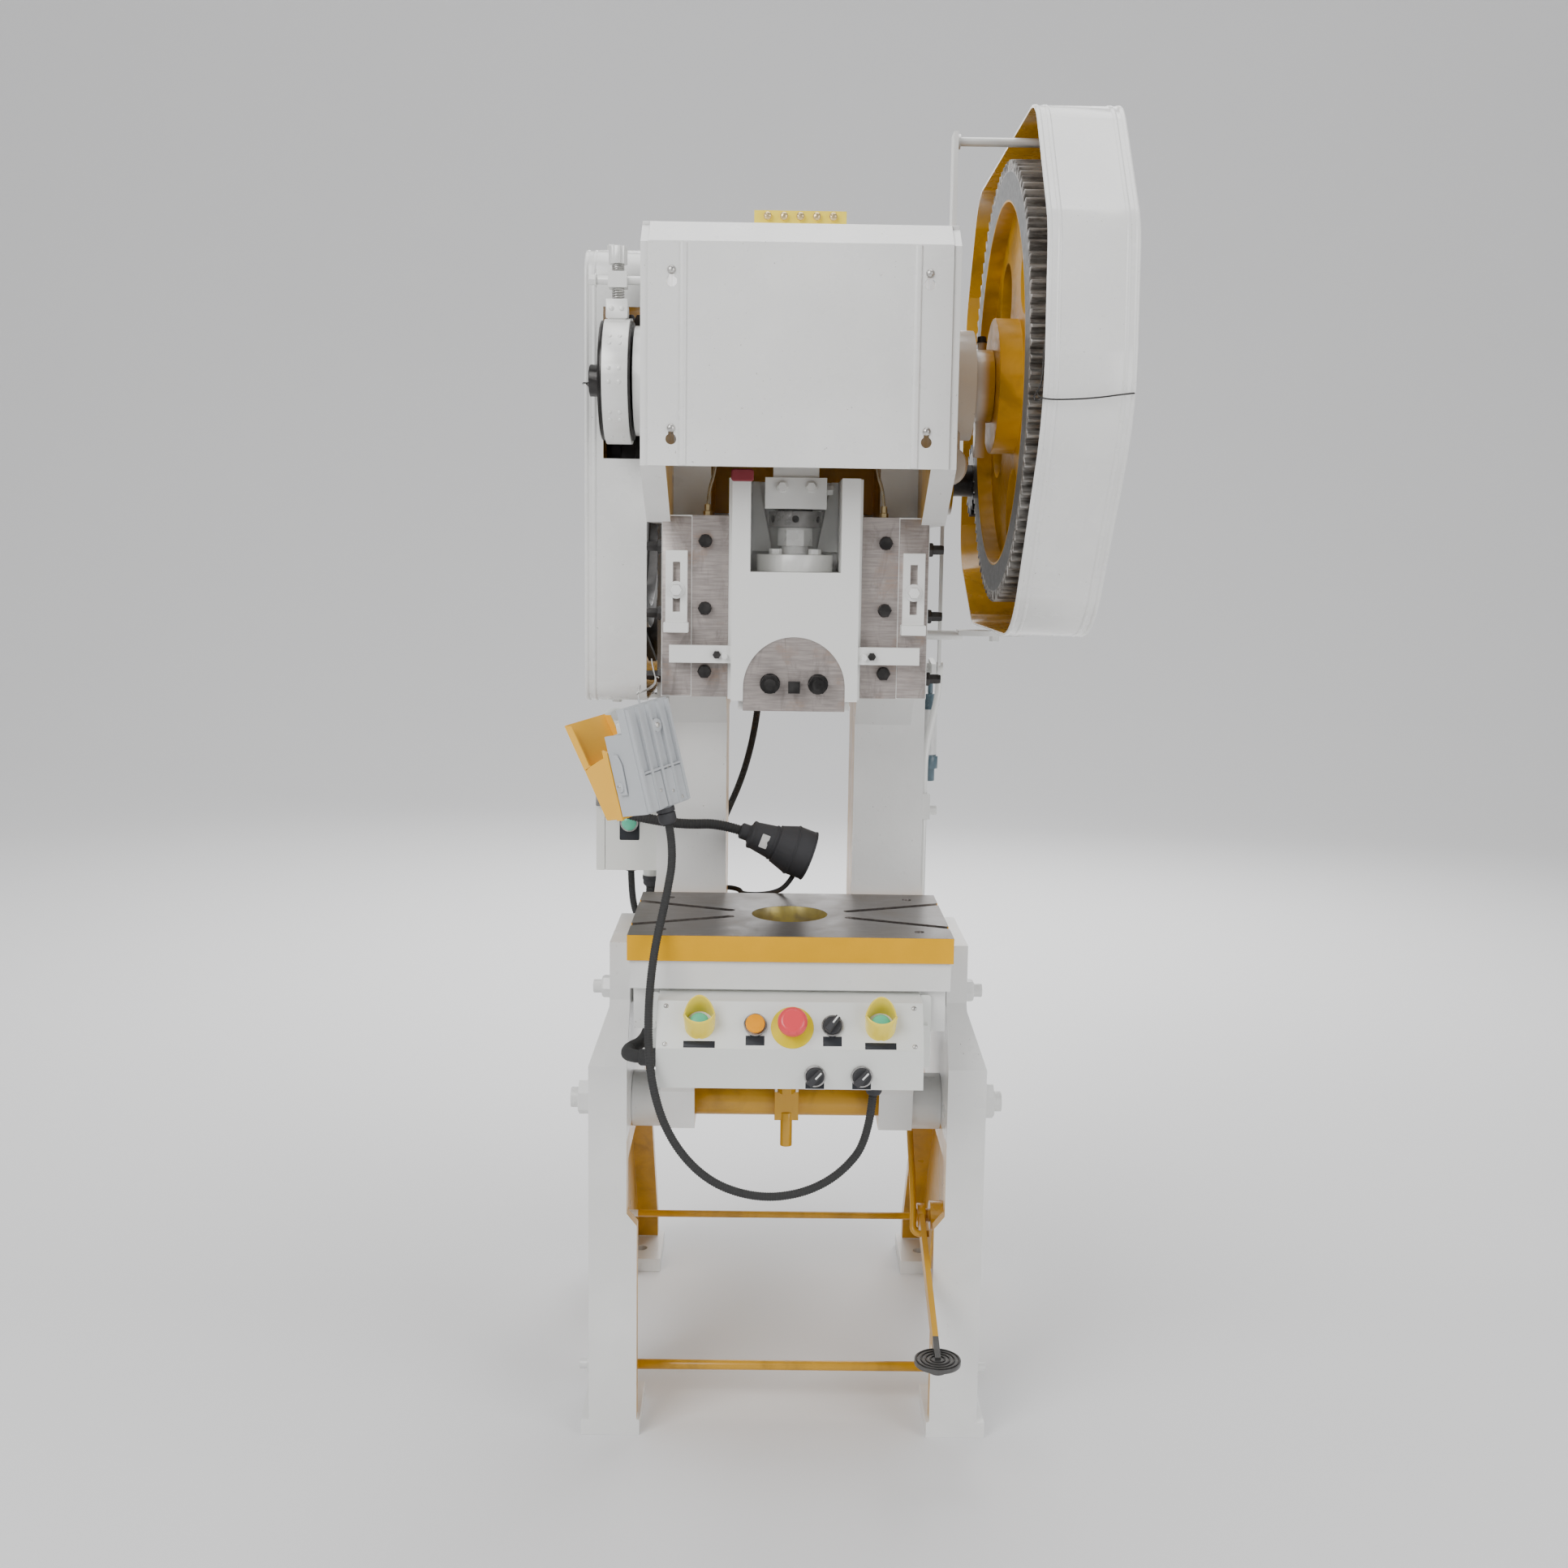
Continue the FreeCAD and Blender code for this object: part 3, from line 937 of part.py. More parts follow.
def on_panel(shape, x, panel=True):
    """Stands a shape drawn about Z on the sloping panel, or on the upright one below it."""
    middle, out = panel_frame()
    if not panel:
        middle, out = Vector(0, -BOX_FRONT, (BOX_BOTTOM + BOX_BREAK) / 2 - 8), Vector(0, -1, 0)
    placed = shape.copy()
    stand = FreeCAD.Placement(middle + X * x, FreeCAD.Rotation(Z, out))
    placed.Placement = stand.multiply(placed.Placement)
    return placed


SLOPE_STATIONS = (-PALM_X, -47.0, 3.0, 57.0, PALM_X)
FACE_STATIONS = (34.0, 97.0)
STEM = 20.0


def control_box():
    """Sheet box with a sloping panel, open at the back against the bed."""
    outline = [(-BED_FRONT, BOX_BOTTOM), (-BOX_FRONT, BOX_BOTTOM), (-BOX_FRONT, BOX_BREAK),
               (-BOX_LIP, BOX_TOP), (-BED_FRONT, BOX_TOP)]
    wall = 2.5
    body = plate_yz(outline, -BOX_HALF, BOX_HALF)
    inner = [(-BED_FRONT + 1, BOX_BOTTOM + wall), (-BOX_FRONT + wall, BOX_BOTTOM + wall),
             (-BOX_FRONT + wall, BOX_BREAK - 1), (-BOX_LIP + wall - 1, BOX_TOP - wall),
             (-BED_FRONT + 1, BOX_TOP - wall)]
    body = body.cut(plate_yz(inner, -BOX_HALF + wall, BOX_HALF - wall))
    hole = rod(STEM / 2 + SOFT_GAP, (0, 0, -20), (0, 0, 5))
    for x in SLOPE_STATIONS:
        body = body.cut(on_panel(hole, x))
    for x in FACE_STATIONS:
        body = body.cut(on_panel(hole, x, False))
    return body


def palm_guards():
    """Half-open collars that shield the two palm buttons."""
    out = []
    for x in (-PALM_X, PALM_X):
        collar = rod(23, (0, 0, 0), (0, 0, 34)).cut(rod(18.5, (0, 0, -1), (0, 0, 40)))
        collar = collar.cut(block(-30, 30, -40, -6, 14, 40))
        out.append(on_panel(collar, x))
    return out


def palm_button():
    """Palm button: broad cap on a stem."""
    return rod(17, (0, 0, 9), (0, 0, 17)).fuse(rod(STEM / 2, (0, 0, -14), (0, 0, 10))).removeSplitter()


def push_button():
    """Plain round push button."""
    return rod(13, (0, 0, 7), (0, 0, 12)).fuse(rod(STEM / 2, (0, 0, -14), (0, 0, 8))).removeSplitter()


def stop_button():
    """Mushroom-headed emergency stop."""
    head = rod(20, (0, 0, 14), (0, 0, 24)).fuse(Part.makeCone(20, 15, 5, Vector(0, 0, 24)))
    return fused([head, rod(STEM / 2, (0, 0, -14), (0, 0, 15))])


def selector():
    """Selector knob with a raised handle."""
    knob = rod(13, (0, 0, 0.5), (0, 0, 8)).fuse(block(-4, 4, -12, 12, 7, 17))
    return fused([knob, rod(STEM / 2, (0, 0, -14), (0, 0, 1))])


# ---------------------------------------------------------------- cabinet
CABINET_X, CABINET_Y, CABINET_DEPTH = 288.0, 200.0, 205.0
CABINET_BOTTOM, CABINET_TOP = 804.0, 1040.0


def cabinet():
    """Switch cabinet on the left column, open towards its door."""
    body = block(-CABINET_X, -COLUMN_OUTSIDE, CABINET_Y, CABINET_Y + CABINET_DEPTH, CABINET_BOTTOM,
                 CABINET_TOP)
    inside = block(-CABINET_X - 1, -COLUMN_OUTSIDE - 2, CABINET_Y + 2, CABINET_Y + CABINET_DEPTH - 2,
                   CABINET_BOTTOM + 2, CABINET_TOP - 2)
    lamp = rod(11, (-250, CABINET_Y, 880), (-250, CABINET_Y - 9, 880))
    keeper = block(-CABINET_X, -CABINET_X + 30, CABINET_Y - 5, CABINET_Y, 908, 922)
    glands = [rod(13, (x, y, CABINET_BOTTOM - 18), (x, y, CABINET_BOTTOM))
              for x, y in (BOX_GLAND, REAR_GLAND, LAMP_GLAND)]
    return fused([body.cut(inside), lamp, keeper] + glands)


def cabinet_door():
    """Cabinet door on the left side, hinged at the rear."""
    x0 = -CABINET_X - 14
    back = CABINET_Y + CABINET_DEPTH
    skin = block(x0, -CABINET_X - 0.5, CABINET_Y - 1, back, CABINET_BOTTOM, CABINET_TOP)
    hollow = block(x0 + 2, -CABINET_X, CABINET_Y + 1, back - 2, CABINET_BOTTOM + 2, CABINET_TOP - 2)
    latch = block(x0 + 2, -CABINET_X - 1, CABINET_Y - 7, CABINET_Y, 905, 925)
    hinges = [rod(4, (-CABINET_X - 5, back + 3, z), (-CABINET_X - 5, back + 3, z + 30)) for z in (835, 980)]
    return fused([skin.cut(hollow), latch] + hinges)


# ---------------------------------------------------------------- foot switch on its hook
SWITCH_PLACE = FreeCAD.Placement(Vector(-196, -128, 1024), FreeCAD.Rotation(Vector(0, 1, 0), -13).multiply(
    FreeCAD.Rotation(Vector(0, 0, 1), -40)))


def switch_local(shape):
    """Puts a foot-switch piece, drawn lengthwise along Z, where it hangs."""
    placed = shape.copy()
    placed.Placement = SWITCH_PLACE.multiply(placed.Placement)
    return placed


def foot_switch_body():
    """Ribbed base of the foot switch with side cheeks, gland and hanging wire."""
    base = block(0, 14, -42, 42, -72, 74)
    cheeks = [block(-34, 1, y, y + 6, -72, 40) for y in (-42, 36)]
    ribs = [block(13, 20, y, y + 4, -70, 72) for y in (-40, -22, -2, 18, 36)]
    gland = rod(10, (7, 0, -90), (7, 0, -71))
    wire = rod(1.5, (4, 0, 73), (4, 0, 80))
    return switch_local(fused([base, gland, wire] + cheeks + ribs))


def foot_switch_hood():
    """Curved hood over the treadle."""
    profile = [(-34, -70), (-40, 10), (-78, 62), (-82, 60), (-45, 8), (-40, -74), (-30, -74), (-30, -70)]
    return switch_local(plate_xz(profile, -36, 36))


def treadle():
    """Foot plate between the cheeks, turning on its pin."""
    plate = block(-24, -16, -34, 34, -60, 40)
    pin = rod(4, (-20, -35.7, -60), (-20, 35.7, -60))
    return switch_local(plate.fuse(pin).removeSplitter())


# ---------------------------------------------------------------- lamp
LAMP_HEAD_START = Vector(-60, 130, 876)
LAMP_AIM = Vector(0.90, 0.05, -0.34).normalize()


def lamp_head():
    """Work lamp: rear cone and flared bell."""
    a, axis = LAMP_HEAD_START, LAMP_AIM
    back = Part.makeCone(20, 27, 42, a, axis)
    bell = Part.makeCone(29, 38, 26, a + axis * 42, axis)
    rim = Part.makeCylinder(38, 30, a + axis * 68, axis)
    mouth = Part.makeCone(28, 35, 34, a + axis * 66, axis)
    return fused([back, bell, rim]).cut(mouth)


def lamp_arm():
    """Gooseneck from its foot on the left column to the lamp."""
    start = (-COLUMN_OUTSIDE - 22, 178, 925)
    points = [start, (-264, 178, 923), (-285, 157, 919), (-285, 129, 914), (-264, 108, 908),
              (-212, 108, 900), (-160, 112, 892), tuple(LAMP_HEAD_START - LAMP_AIM * 46),
              tuple(LAMP_HEAD_START)]
    foot = rod(17, (-COLUMN_OUTSIDE - 23, 178, 925), (-COLUMN_OUTSIDE, 178, 925))
    return cord("lamp arm", points, 16).fuse(foot)


# ---------------------------------------------------------------- cords
BOX_GLAND, REAR_GLAND, LAMP_GLAND = (-219.0, 250.0), (-262.0, 382.0), (-228.0, 388.0)
GLAND_END = CABINET_BOTTOM - 18
SWITCH_EXIT = SWITCH_PLACE.multVec(Vector(7, 0, -90))
SWITCH_BELOW = SWITCH_PLACE.multVec(Vector(7, 0, -133))
SWITCH_CABLE = [tuple(SWITCH_EXIT), tuple(SWITCH_BELOW), (-172, -150, 828), (-187, -178, 760),
                (-192, -210, 682), (-186, -245, 603), (-160, -262, 530), (-110, -262, 472), (-45, -255, 446),
                (18, -240, 446), (72, -216, 466), (112, -192, 510), (116, -190, 588)]
CONDUIT = [(-BOX_HALF, -166, 612), (-223, -166, 612), (-226, -122, 611), (-208, -74, 606),
           (-204, 10, 604), (-206, 110, 602), (-209, 190, 606), (-214, 242, 644), (-219, 250, 706),
           (BOX_GLAND[0], BOX_GLAND[1], GLAND_END)]
REAR_CABLE = [(-58, MOTOR_Y - 40, MOTOR_Z + 100), (-58, MOTOR_Y - 85, MOTOR_Z + 100), (-56, 438, 1228),
              (-51, 416, 1160), (-48, 409, 1090), (-56, 410, 1010), (-75, 412, 930), (-104, 411, 862),
              (-130, 410, 800), (-152, 407, 748), (-178, 402, 703), (-203, 398, 678), (-237, 391, 678),
              (-262, 382, 703), (REAR_GLAND[0], REAR_GLAND[1], GLAND_END)]
LAMP_LEAD = [(5.4, 135, 809.4), (-4, 146, 791), (-24, 170, 776), (-54, 200, 767), (-75, 240, 761),
             (-77, 290, 757), (-98, 347, 750), (-148, 372, 742), (-196, 385, 730), (-228, 388, 744),
             (LAMP_GLAND[0], LAMP_GLAND[1], GLAND_END)]


# ---------------------------------------------------------------- building the files
def save(name, shape):
    """Writes one node, moved to the shared origin."""
    solids = shape if isinstance(shape, list) else [shape]
    out = Part.makeCompound(solids) if len(solids) > 1 else solids[0]
    out = out.copy()
    out.translate(Vector(0, -BOLT_CENTRE, 0))
    if not out.isValid():
        print(f"{name} IS NOT VALID")
    out.exportStep(f"parts/{name}.step")
    print(f"{name}: {len(out.Solids)} solids, {out.Volume / 1000:.0f} cm3")


def main():
    """Builds every node."""
    os.makedirs("parts", exist_ok=True)
    leg_body, pedal_boss = leg()
    left_leg = mirrored(leg_body.removeSplitter())
    right_leg = leg_body.fuse(pedal_boss).cut(
        along_x(10 + FIT, 200, 261, PEDAL_PIVOT_Y, PEDAL_PIVOT_Z)).removeSplitter()
    stop = knockout_stop()
    strip = gib()
    nodes = {
        "leg_right": right_leg, "leg_left": left_leg, "tie_rods": stand_rods(),
        "trunnion_shaft": [trunnion_shaft()] + trunnion_nuts(),
        "press_frame": press_frame(), "bolster": bolster(), "gibs": [strip, mirrored(strip)],
        "frame_bolts": gib_fasteners() + lock_bolts(),
        "knockout_stops": [stop, mirrored(stop)], "ram": ram(),
        "shank_clamp": shank_clamp(), "clamp_studs": clamp_studs(), "knockout_bar": knockout_bar(),
        "ball_cap": ball_cap(), "adjusting_screw": adjusting_screw(), "connecting_rod": connecting_rod(),
        "crankshaft": crankshaft(), "crank_bushes": crank_bushes(), "gear": gear(),
        "drive_shaft": drive_shaft(), "flywheel": flywheel(), "motor": motor(),
        "motor_pulley": motor_pulley(), "v_belts": belts(), "gear_guard": gear_guard(),
        "belt_guard": belt_guard(), "guard_stays": guard_stays(), "crown_cover": crown_cover(),
        "crown_lid": crown_lid(), "oil_distributor": oil_distributor(), "brake_drum": brake_drum(),
        "brake_band": brake_band(), "brake_rod": brake_rod(), "brake_knob": brake_knob(),
        "clutch_collar": clutch_collar(), "pedal": pedal(), "pull_rod": pull_rod(),
        "trip_rod": trip_rod(), "trip_lever": trip_lever(), "trip_cylinder": trip_cylinder(),
        "control_box": control_box(), "palm_guards": palm_guards(),
        "palm_button_left": on_panel(palm_button(), -PALM_X),
        "palm_button_right": on_panel(palm_button(), PALM_X),
        "start_button": on_panel(push_button(), SLOPE_STATIONS[1]),
        "stop_button": on_panel(stop_button(), SLOPE_STATIONS[2]),
        "mode_selector": on_panel(selector(), SLOPE_STATIONS[3]),
        "left_selector": on_panel(selector(), FACE_STATIONS[0], False),
        "right_selector": on_panel(selector(), FACE_STATIONS[1], False),
        "cabinet": cabinet(), "cabinet_door": cabinet_door(),
        "foot_switch_body": foot_switch_body(), "foot_switch_hood": foot_switch_hood(),
        "foot_switch_treadle": treadle(), "lamp_head": lamp_head(), "lamp_arm": lamp_arm(),
        "foot_switch_cable": cord("foot switch cable", SWITCH_CABLE, 12),
        "box_conduit": cord("box conduit", CONDUIT, 18),
        "rear_cable": cord("rear cable", REAR_CABLE, 12),
        "lamp_lead": cord("lamp lead", LAMP_LEAD, 8),
    }
    for name, shape in nodes.items():
        save(name, shape)
    print(len(nodes), "nodes")


main()
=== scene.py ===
"""Looks of an open-back inclinable eccentric press: finishes, fittings, cords and a plain studio.

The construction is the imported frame. This file paints it, rounds its edges and adds the small
fittings that carry no load. Lengths are metres, in the frame's axes: X across the machine,
-Y towards the operator, Z up from the floor.
"""

import math

import bmesh
import bpy
import numpy as np
from mathutils import Matrix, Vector
from bpy.props import FloatProperty, FloatVectorProperty, IntProperty, PointerProperty


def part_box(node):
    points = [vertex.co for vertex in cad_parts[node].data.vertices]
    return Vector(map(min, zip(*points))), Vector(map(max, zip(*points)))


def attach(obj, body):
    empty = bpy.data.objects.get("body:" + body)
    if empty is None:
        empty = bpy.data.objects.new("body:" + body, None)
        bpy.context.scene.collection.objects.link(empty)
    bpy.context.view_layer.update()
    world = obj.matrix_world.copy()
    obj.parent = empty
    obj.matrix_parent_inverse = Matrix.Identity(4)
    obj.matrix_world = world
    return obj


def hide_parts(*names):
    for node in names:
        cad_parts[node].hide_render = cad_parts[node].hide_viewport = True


bl_info = {
    "name": "Eccentric press looks",
    "version": (1, 0, 0),
    "blender": (4, 5, 0),
    "location": "View3D > Sidebar > Press",
    "description": "Finishes, fittings and cords of an open-back inclinable eccentric press",
    "category": "Object",
}

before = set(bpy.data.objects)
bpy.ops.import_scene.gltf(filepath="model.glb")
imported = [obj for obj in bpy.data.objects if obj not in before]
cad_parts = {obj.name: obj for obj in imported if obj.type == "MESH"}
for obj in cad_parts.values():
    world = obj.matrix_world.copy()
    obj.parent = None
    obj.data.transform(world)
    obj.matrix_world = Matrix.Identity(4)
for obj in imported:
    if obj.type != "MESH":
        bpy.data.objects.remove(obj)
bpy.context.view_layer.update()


def middle(node):
    """Centre of a CAD node's box."""
    low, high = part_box(node)
    return np.array((low + high) / 2)


SLIDE_Y = middle("adjusting_screw")[1]
SIDES = (-1, 1)
RIGHT, LEFT, FRONT, UP, DOWN = (1, 0, 0), (-1, 0, 0), (0, -1, 0), (0, 0, 1), (0, 0, -1)

# Axes shared by several pieces, in the millimetres that at() takes.
PIVOT_Y, PIVOT_Z = 60, 480
LOCK_X, LOCK_Z = 262, 653
CRANK_Z = 1537
MOTOR_Y, MOTOR_Z = 575, 1165


def at(x, y, z):
    """Millimetres, with Y from the slide's plane, to a place in the frame."""
    return np.array([x / 1000, y / 1000 + SLIDE_Y, z / 1000])


# ------------------------------------------------------------------ settings
def colour(name, description, default):
    """A paint that the user may change."""
    return FloatVectorProperty(name=name, description=description, default=default, subtype="COLOR",
                               size=3, min=0.0, max=1.0)


def length(name, description, default):
    """A size that the user may change."""
    return FloatProperty(name=name, description=description, default=default, unit="LENGTH",
                         min=0.0001)


class PressColours(bpy.types.PropertyGroup):
    """Paints, plastics and bare metals."""

    body: colour("Body", "Enamel of castings, legs and guards", (0.80, 0.80, 0.785))
    ochre: colour("Ochre", "Enamel inside the legs, the guards and the crown", (0.60, 0.315, 0.012))
    signal: colour("Signal yellow", "Table's edge, palm hoods and oil block", (0.80, 0.405, 0.0))
    box: colour("Box", "Textured enamel of the control box and the cabinet", (0.66, 0.675, 0.63))
    iron: colour("Machined iron", "Gibs and shank clamp", (0.40, 0.355, 0.335))
    table: colour("Table iron", "Ground top of the bolster", (0.115, 0.102, 0.095))
    black: colour("Black", "Conduit, lamp and selectors", (0.012, 0.012, 0.013))
    dark: colour("Blackened steel", "Screws and crankshaft", (0.045, 0.043, 0.042))
    zinc: colour("Zinc", "Plated screws, studs and wire", (0.56, 0.55, 0.53))
    brass: colour("Brass", "Oil screws and bushes", (0.62, 0.40, 0.14))
    moulding: colour("Grey moulding", "Foot switch", (0.30, 0.33, 0.355))
    orange: colour("Orange", "Hood of the foot switch", (0.86, 0.225, 0.0))
    red: colour("Red", "Stop button", (0.43, 0.0, 0.006))
    green: colour("Green", "Palm buttons and pilot lamp", (0.0, 0.175, 0.065))
    slate: colour("Slate", "End caps of the cylinder and the motor", (0.075, 0.125, 0.155))


class PressSizes(bpy.types.PropertyGroup):
    """Sizes of the small fittings."""

    cast_edge: length("Cast edge", "Rounding of the castings' edges", 0.0045)
    plate_edge: length("Plate edge", "Rounding of plates and bars", 0.0012)
    rib_pitch: length("Rib pitch", "Distance between ribs of the conduit", 0.0034)
    rib_height: length("Rib height", "Height of the conduit's ribs", 0.0008)
    wire: length("Wire", "Radius of the tie wires", 0.0010)
    bead: length("Bead", "Half width of the swaged lines in sheet metal", 0.0030)
    bead_rise: length("Bead rise", "Height of the swaged lines", 0.0012)
    fin: length("Fin", "Height of the motor's cooling fins", 0.007)
    fins: IntProperty(name="Fins", description="Cooling fins around the motor", default=36, min=8)


class PressStage(bpy.types.PropertyGroup):
    """Camera, floor and light."""

    lens: FloatProperty(name="Lens", description="Focal length on a 36 mm sensor", default=39.13,
                        unit="CAMERA")
    eye: FloatVectorProperty(name="Eye", description="Place of the camera", subtype="TRANSLATION",
                             default=(-0.035, -2.73, 1.305), unit="LENGTH")
    pitch: FloatProperty(name="Pitch", description="Angle below the horizon",
                         default=math.radians(7.79), unit="ROTATION")
    yaw: FloatProperty(name="Yaw", description="Angle to the right of straight ahead",
                       default=math.radians(0.57), unit="ROTATION")
    roll: FloatProperty(name="Roll", description="Turn about the line of sight",
                        default=math.radians(-0.8), unit="ROTATION")
    floor: colour("Floor", "Pale studio floor", (0.80, 0.80, 0.805))
    light: FloatProperty(name="Light", description="Power in watts that every light takes a share of",
                         default=47.0)
    sky: FloatProperty(name="Sky", description="Strength of the even light from all round",
                       default=0.35)


def paints():
    """The colours as they are set now."""
    return bpy.context.scene.press_colours


def sizes():
    """The sizes as they are set now."""
    return bpy.context.scene.press_sizes


# ------------------------------------------------------------------ surfaces worked out as arrays
def unit(vector):
    """The same direction, one long."""
    vector = np.asarray(vector, float)
    return vector / np.linalg.norm(vector, axis=-1, keepdims=True)


def closed(points):
    """Rows of rings as quads between neighbours, with a flat cap on the first and the last row."""
    rows, columns = points.shape[:2]
    index = np.arange(rows * columns).reshape(rows, columns)
    ahead = np.roll(index, -1, axis=1)
    quads = np.stack([index[:-1], ahead[:-1], ahead[1:], index[1:]], -1).reshape(-1, 4)
    faces = quads.tolist() + [index[0, ::-1].tolist(), index[-1].tolist()]
    return points.reshape(-1, 3), faces


def looped(points):
    """Rows of rings that close on themselves both ways, as a torus does."""
    rows, columns = points.shape[:2]
    index = np.arange(rows * columns).reshape(rows, columns)
    ahead, above = np.roll(index, -1, axis=1), np.roll(index, -1, axis=0)
    corner = np.roll(above, -1, axis=1)
    quads = np.stack([index, ahead, corner, above], -1).reshape(-1, 4)
    return points.reshape(-1, 3), quads.tolist()


def revolve(r, z, sides):
    """An outline of radii and heights turned about Z: (r cos t, r sin t, z)."""
    t = np.linspace(0, 2 * np.pi, sides, endpoint=False)
    return np.stack([np.outer(r, np.cos(t)), np.outer(r, np.sin(t)),
                     np.repeat(z[:, None], sides, 1)], -1)


def lathe(profile, sides=28):
    """A solid from radius and height pairs in millimetres."""
    r, z = np.array(profile, float).T / 1000
    return closed(revolve(r, z, sides))


def ring(outer, inner, low, high, edge=0.4, sides=36):
    """A collar: a chamfered rectangle of radius and height carried round Z and shut on itself."""
    profile = [(inner, low + edge), (inner + edge, low), (outer - edge, low), (outer, low + edge),
               (outer, high - edge), (outer - edge, high), (inner + edge, high), (inner, high - edge)]
    r, z = np.array(profile, float).T / 1000
    return looped(revolve(r, z, sides))


def rounded(width, height, radius, steps=6):
    """Outline of a rectangle with quarter-circle corners, anticlockwise, in millimetres."""
    t = np.linspace(0, np.pi / 2, steps)
    start = np.arange(4)[:, None] * np.pi / 2
    sx, sy = np.array([1, -1, -1, 1])[:, None], np.array([1, 1, -1, -1])[:, None]
    x = sx * (width / 2 - radius) + radius * np.cos(t + start)
    y = sy * (height / 2 - radius) + radius * np.sin(t + start)
    return np.stack([x.ravel(), y.ravel()], 1)


def slab(outline, low, high, edge=0.5):
    """An outline carried from low to high along Z, drawn in by the edge's width at both ends."""
    outline = np.asarray(outline, float)
    centre = (outline.min(0) + outline.max(0)) / 2
    inset = centre + (outline - centre) * (1 - 2 * edge / np.ptp(outline, axis=0))
    levels = ((inset, low), (outline, low + edge), (outline, high - edge), (inset, high))
    rows = [np.column_stack([shape, np.full(len(shape), z)]) for shape, z in levels]
    return closed(np.array(rows) / 1000)


def tube(points, radius, sides=12):
    """A ring about each point, square to the line: p + r (cos t n + sin t b)."""
    tangent = unit(np.gradient(points, axis=0))
    choices = unit([(1, 0, 0), (0, 1, 0), (0, 0, 1), (1, 1, 0), (1, 0, 1), (0, 1, 1), (1, 1, 1)])
    apart = [np.linalg.norm(np.cross(tangent, c), axis=1).min() for c in choices]
    n = unit(np.cross(tangent, choices[int(np.argmax(apart))]))
    b = np.cross(tangent, n)
    t = np.linspace(0, 2 * np.pi, sides, endpoint=False)
    around = n[:, None] * np.cos(t)[:, None] + b[:, None] * np.sin(t)[:, None]
    radius = np.broadcast_to(radius, len(points))[:, None, None]
    return closed(points[:, None] + around * radius)


def spline(route, resolution=16):
    """Points along a NURBS spline of order 3 with the route as its control points."""
    curve = bpy.data.curves.new("route", "CURVE")
    curve.dimensions = "3D"
    line = curve.splines.new("NURBS")
    line.points.add(len(route) - 1)
    line.points.foreach_set("co", np.column_stack([route, np.ones(len(route))]).ravel())
    line.order_u = 3
    line.use_endpoint_u = True
    line.resolution_u = resolution
    holder = bpy.data.objects.new("route", curve)
    mesh = bpy.data.meshes.new_from_object(holder)
    points = np.empty(len(mesh.vertices) * 3)
    mesh.vertices.foreach_get("co", points)
    bpy.data.objects.remove(holder)
    bpy.data.curves.remove(curve)
    bpy.data.meshes.remove(mesh)
    return points.reshape(-1, 3)


def evenly(points, step):
    """The same line at equal steps, with the running length at each."""
    run = np.concatenate([[0], np.cumsum(np.linalg.norm(np.diff(points, axis=0), axis=1))])
    places = np.linspace(0, run[-1], max(3, round(run[-1] / step) + 1))
    return np.stack([np.interp(places, run, points[:, k]) for k in range(3)], 1), places


def wire(route, radius, sides=8, step=0.002):
    """A round wire along the spline of a route."""
    return tube(evenly(spline(np.array(route)), step)[0], radius, sides)


def coil(radius, wire_radius, low, high, turns):
    """A spring: a wire along (r cos t, r sin t, low + (high - low) t / end), in millimetres."""
    t = np.linspace(0, 2 * np.pi * turns, 20 * turns)
    line = np.stack([radius * np.cos(t), radius * np.sin(t), low + (high - low) * t / t[-1]], 1)
    return tube(line / 1000, wire_radius / 1000, 8)


def place(part, origin, axis=(0, 0, 1), across=None):
    """Stands a part drawn about Z on an axis at an origin, its own X as near 'across' as it goes."""
    z = unit(axis)
    if across is None:
        across = (0, 1, 0) if abs(z[0]) > 0.9 else (1, 0, 0)
    x = unit(np.asarray(across, float) - z * (z @ np.asarray(across, float)))
    return part[0] @ np.array([x, np.cross(z, x), z]) + np.asarray(origin), part[1]


def hexagon_head(across_flats, height, chamfer=0.12):
    """Six-sided head with its corners turned down."""
    r = across_flats / math.sqrt(3)
    return lathe([(r, 0), (r, height * 0.8), (r * (1 - chamfer), height)], 6)


def washer(radius, thick):
    """Flat disc with its upper edge eased."""
    return lathe([(radius, 0), (radius, thick * 0.7), (radius * 0.96, thick)], 28)


def pan_head(radius, height):
    """Domed head: r cos a, h sin a over a quarter turn."""
    a = np.linspace(0, 1.35, 6)
    return lathe(np.column_stack([radius * np.cos(a), height * np.sin(a)]), 20)


def bolt(across_flats, head, washer_radius, origin, axis):
    """Hexagon head on a washer."""
    origin, axis = np.asarray(origin), unit(axis)
    return [place(washer(washer_radius, 1.6), origin, axis),
            place(hexagon_head(across_flats, head), origin + axis * 0.0016, axis)]


# ------------------------------------------------------------------ pieces
def piece(name, parts, finish, smooth=38.0, body="frame"):
    """One mesh from several parts, painted, riding on a body of the frame."""
    offsets = np.cumsum([0] + [len(verts) for verts, _ in parts])
    faces = [[i + offset for i in face]
             for (_, rings), offset in zip(parts, offsets) for face in rings]
    mesh = bpy.data.meshes.new(name)
    mesh.from_pydata(np.concatenate([verts for verts, _ in parts]), [], faces)
    work = bmesh.new()
    work.from_mesh(mesh)
    bmesh.ops.recalc_face_normals(work, faces=work.faces)
    work.to_mesh(mesh)
    work.free()
    mesh.shade_smooth()
    mesh.set_sharp_from_angle(angle=math.radians(smooth))
    if mesh.validate():
        raise RuntimeError(f"{name} has a faulty face")
    made = bpy.data.objects.new(name, mesh)
    bpy.context.scene.collection.objects.link(made)
    made.data.materials.append(finish_of(finish))
    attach(made, body)
    return made


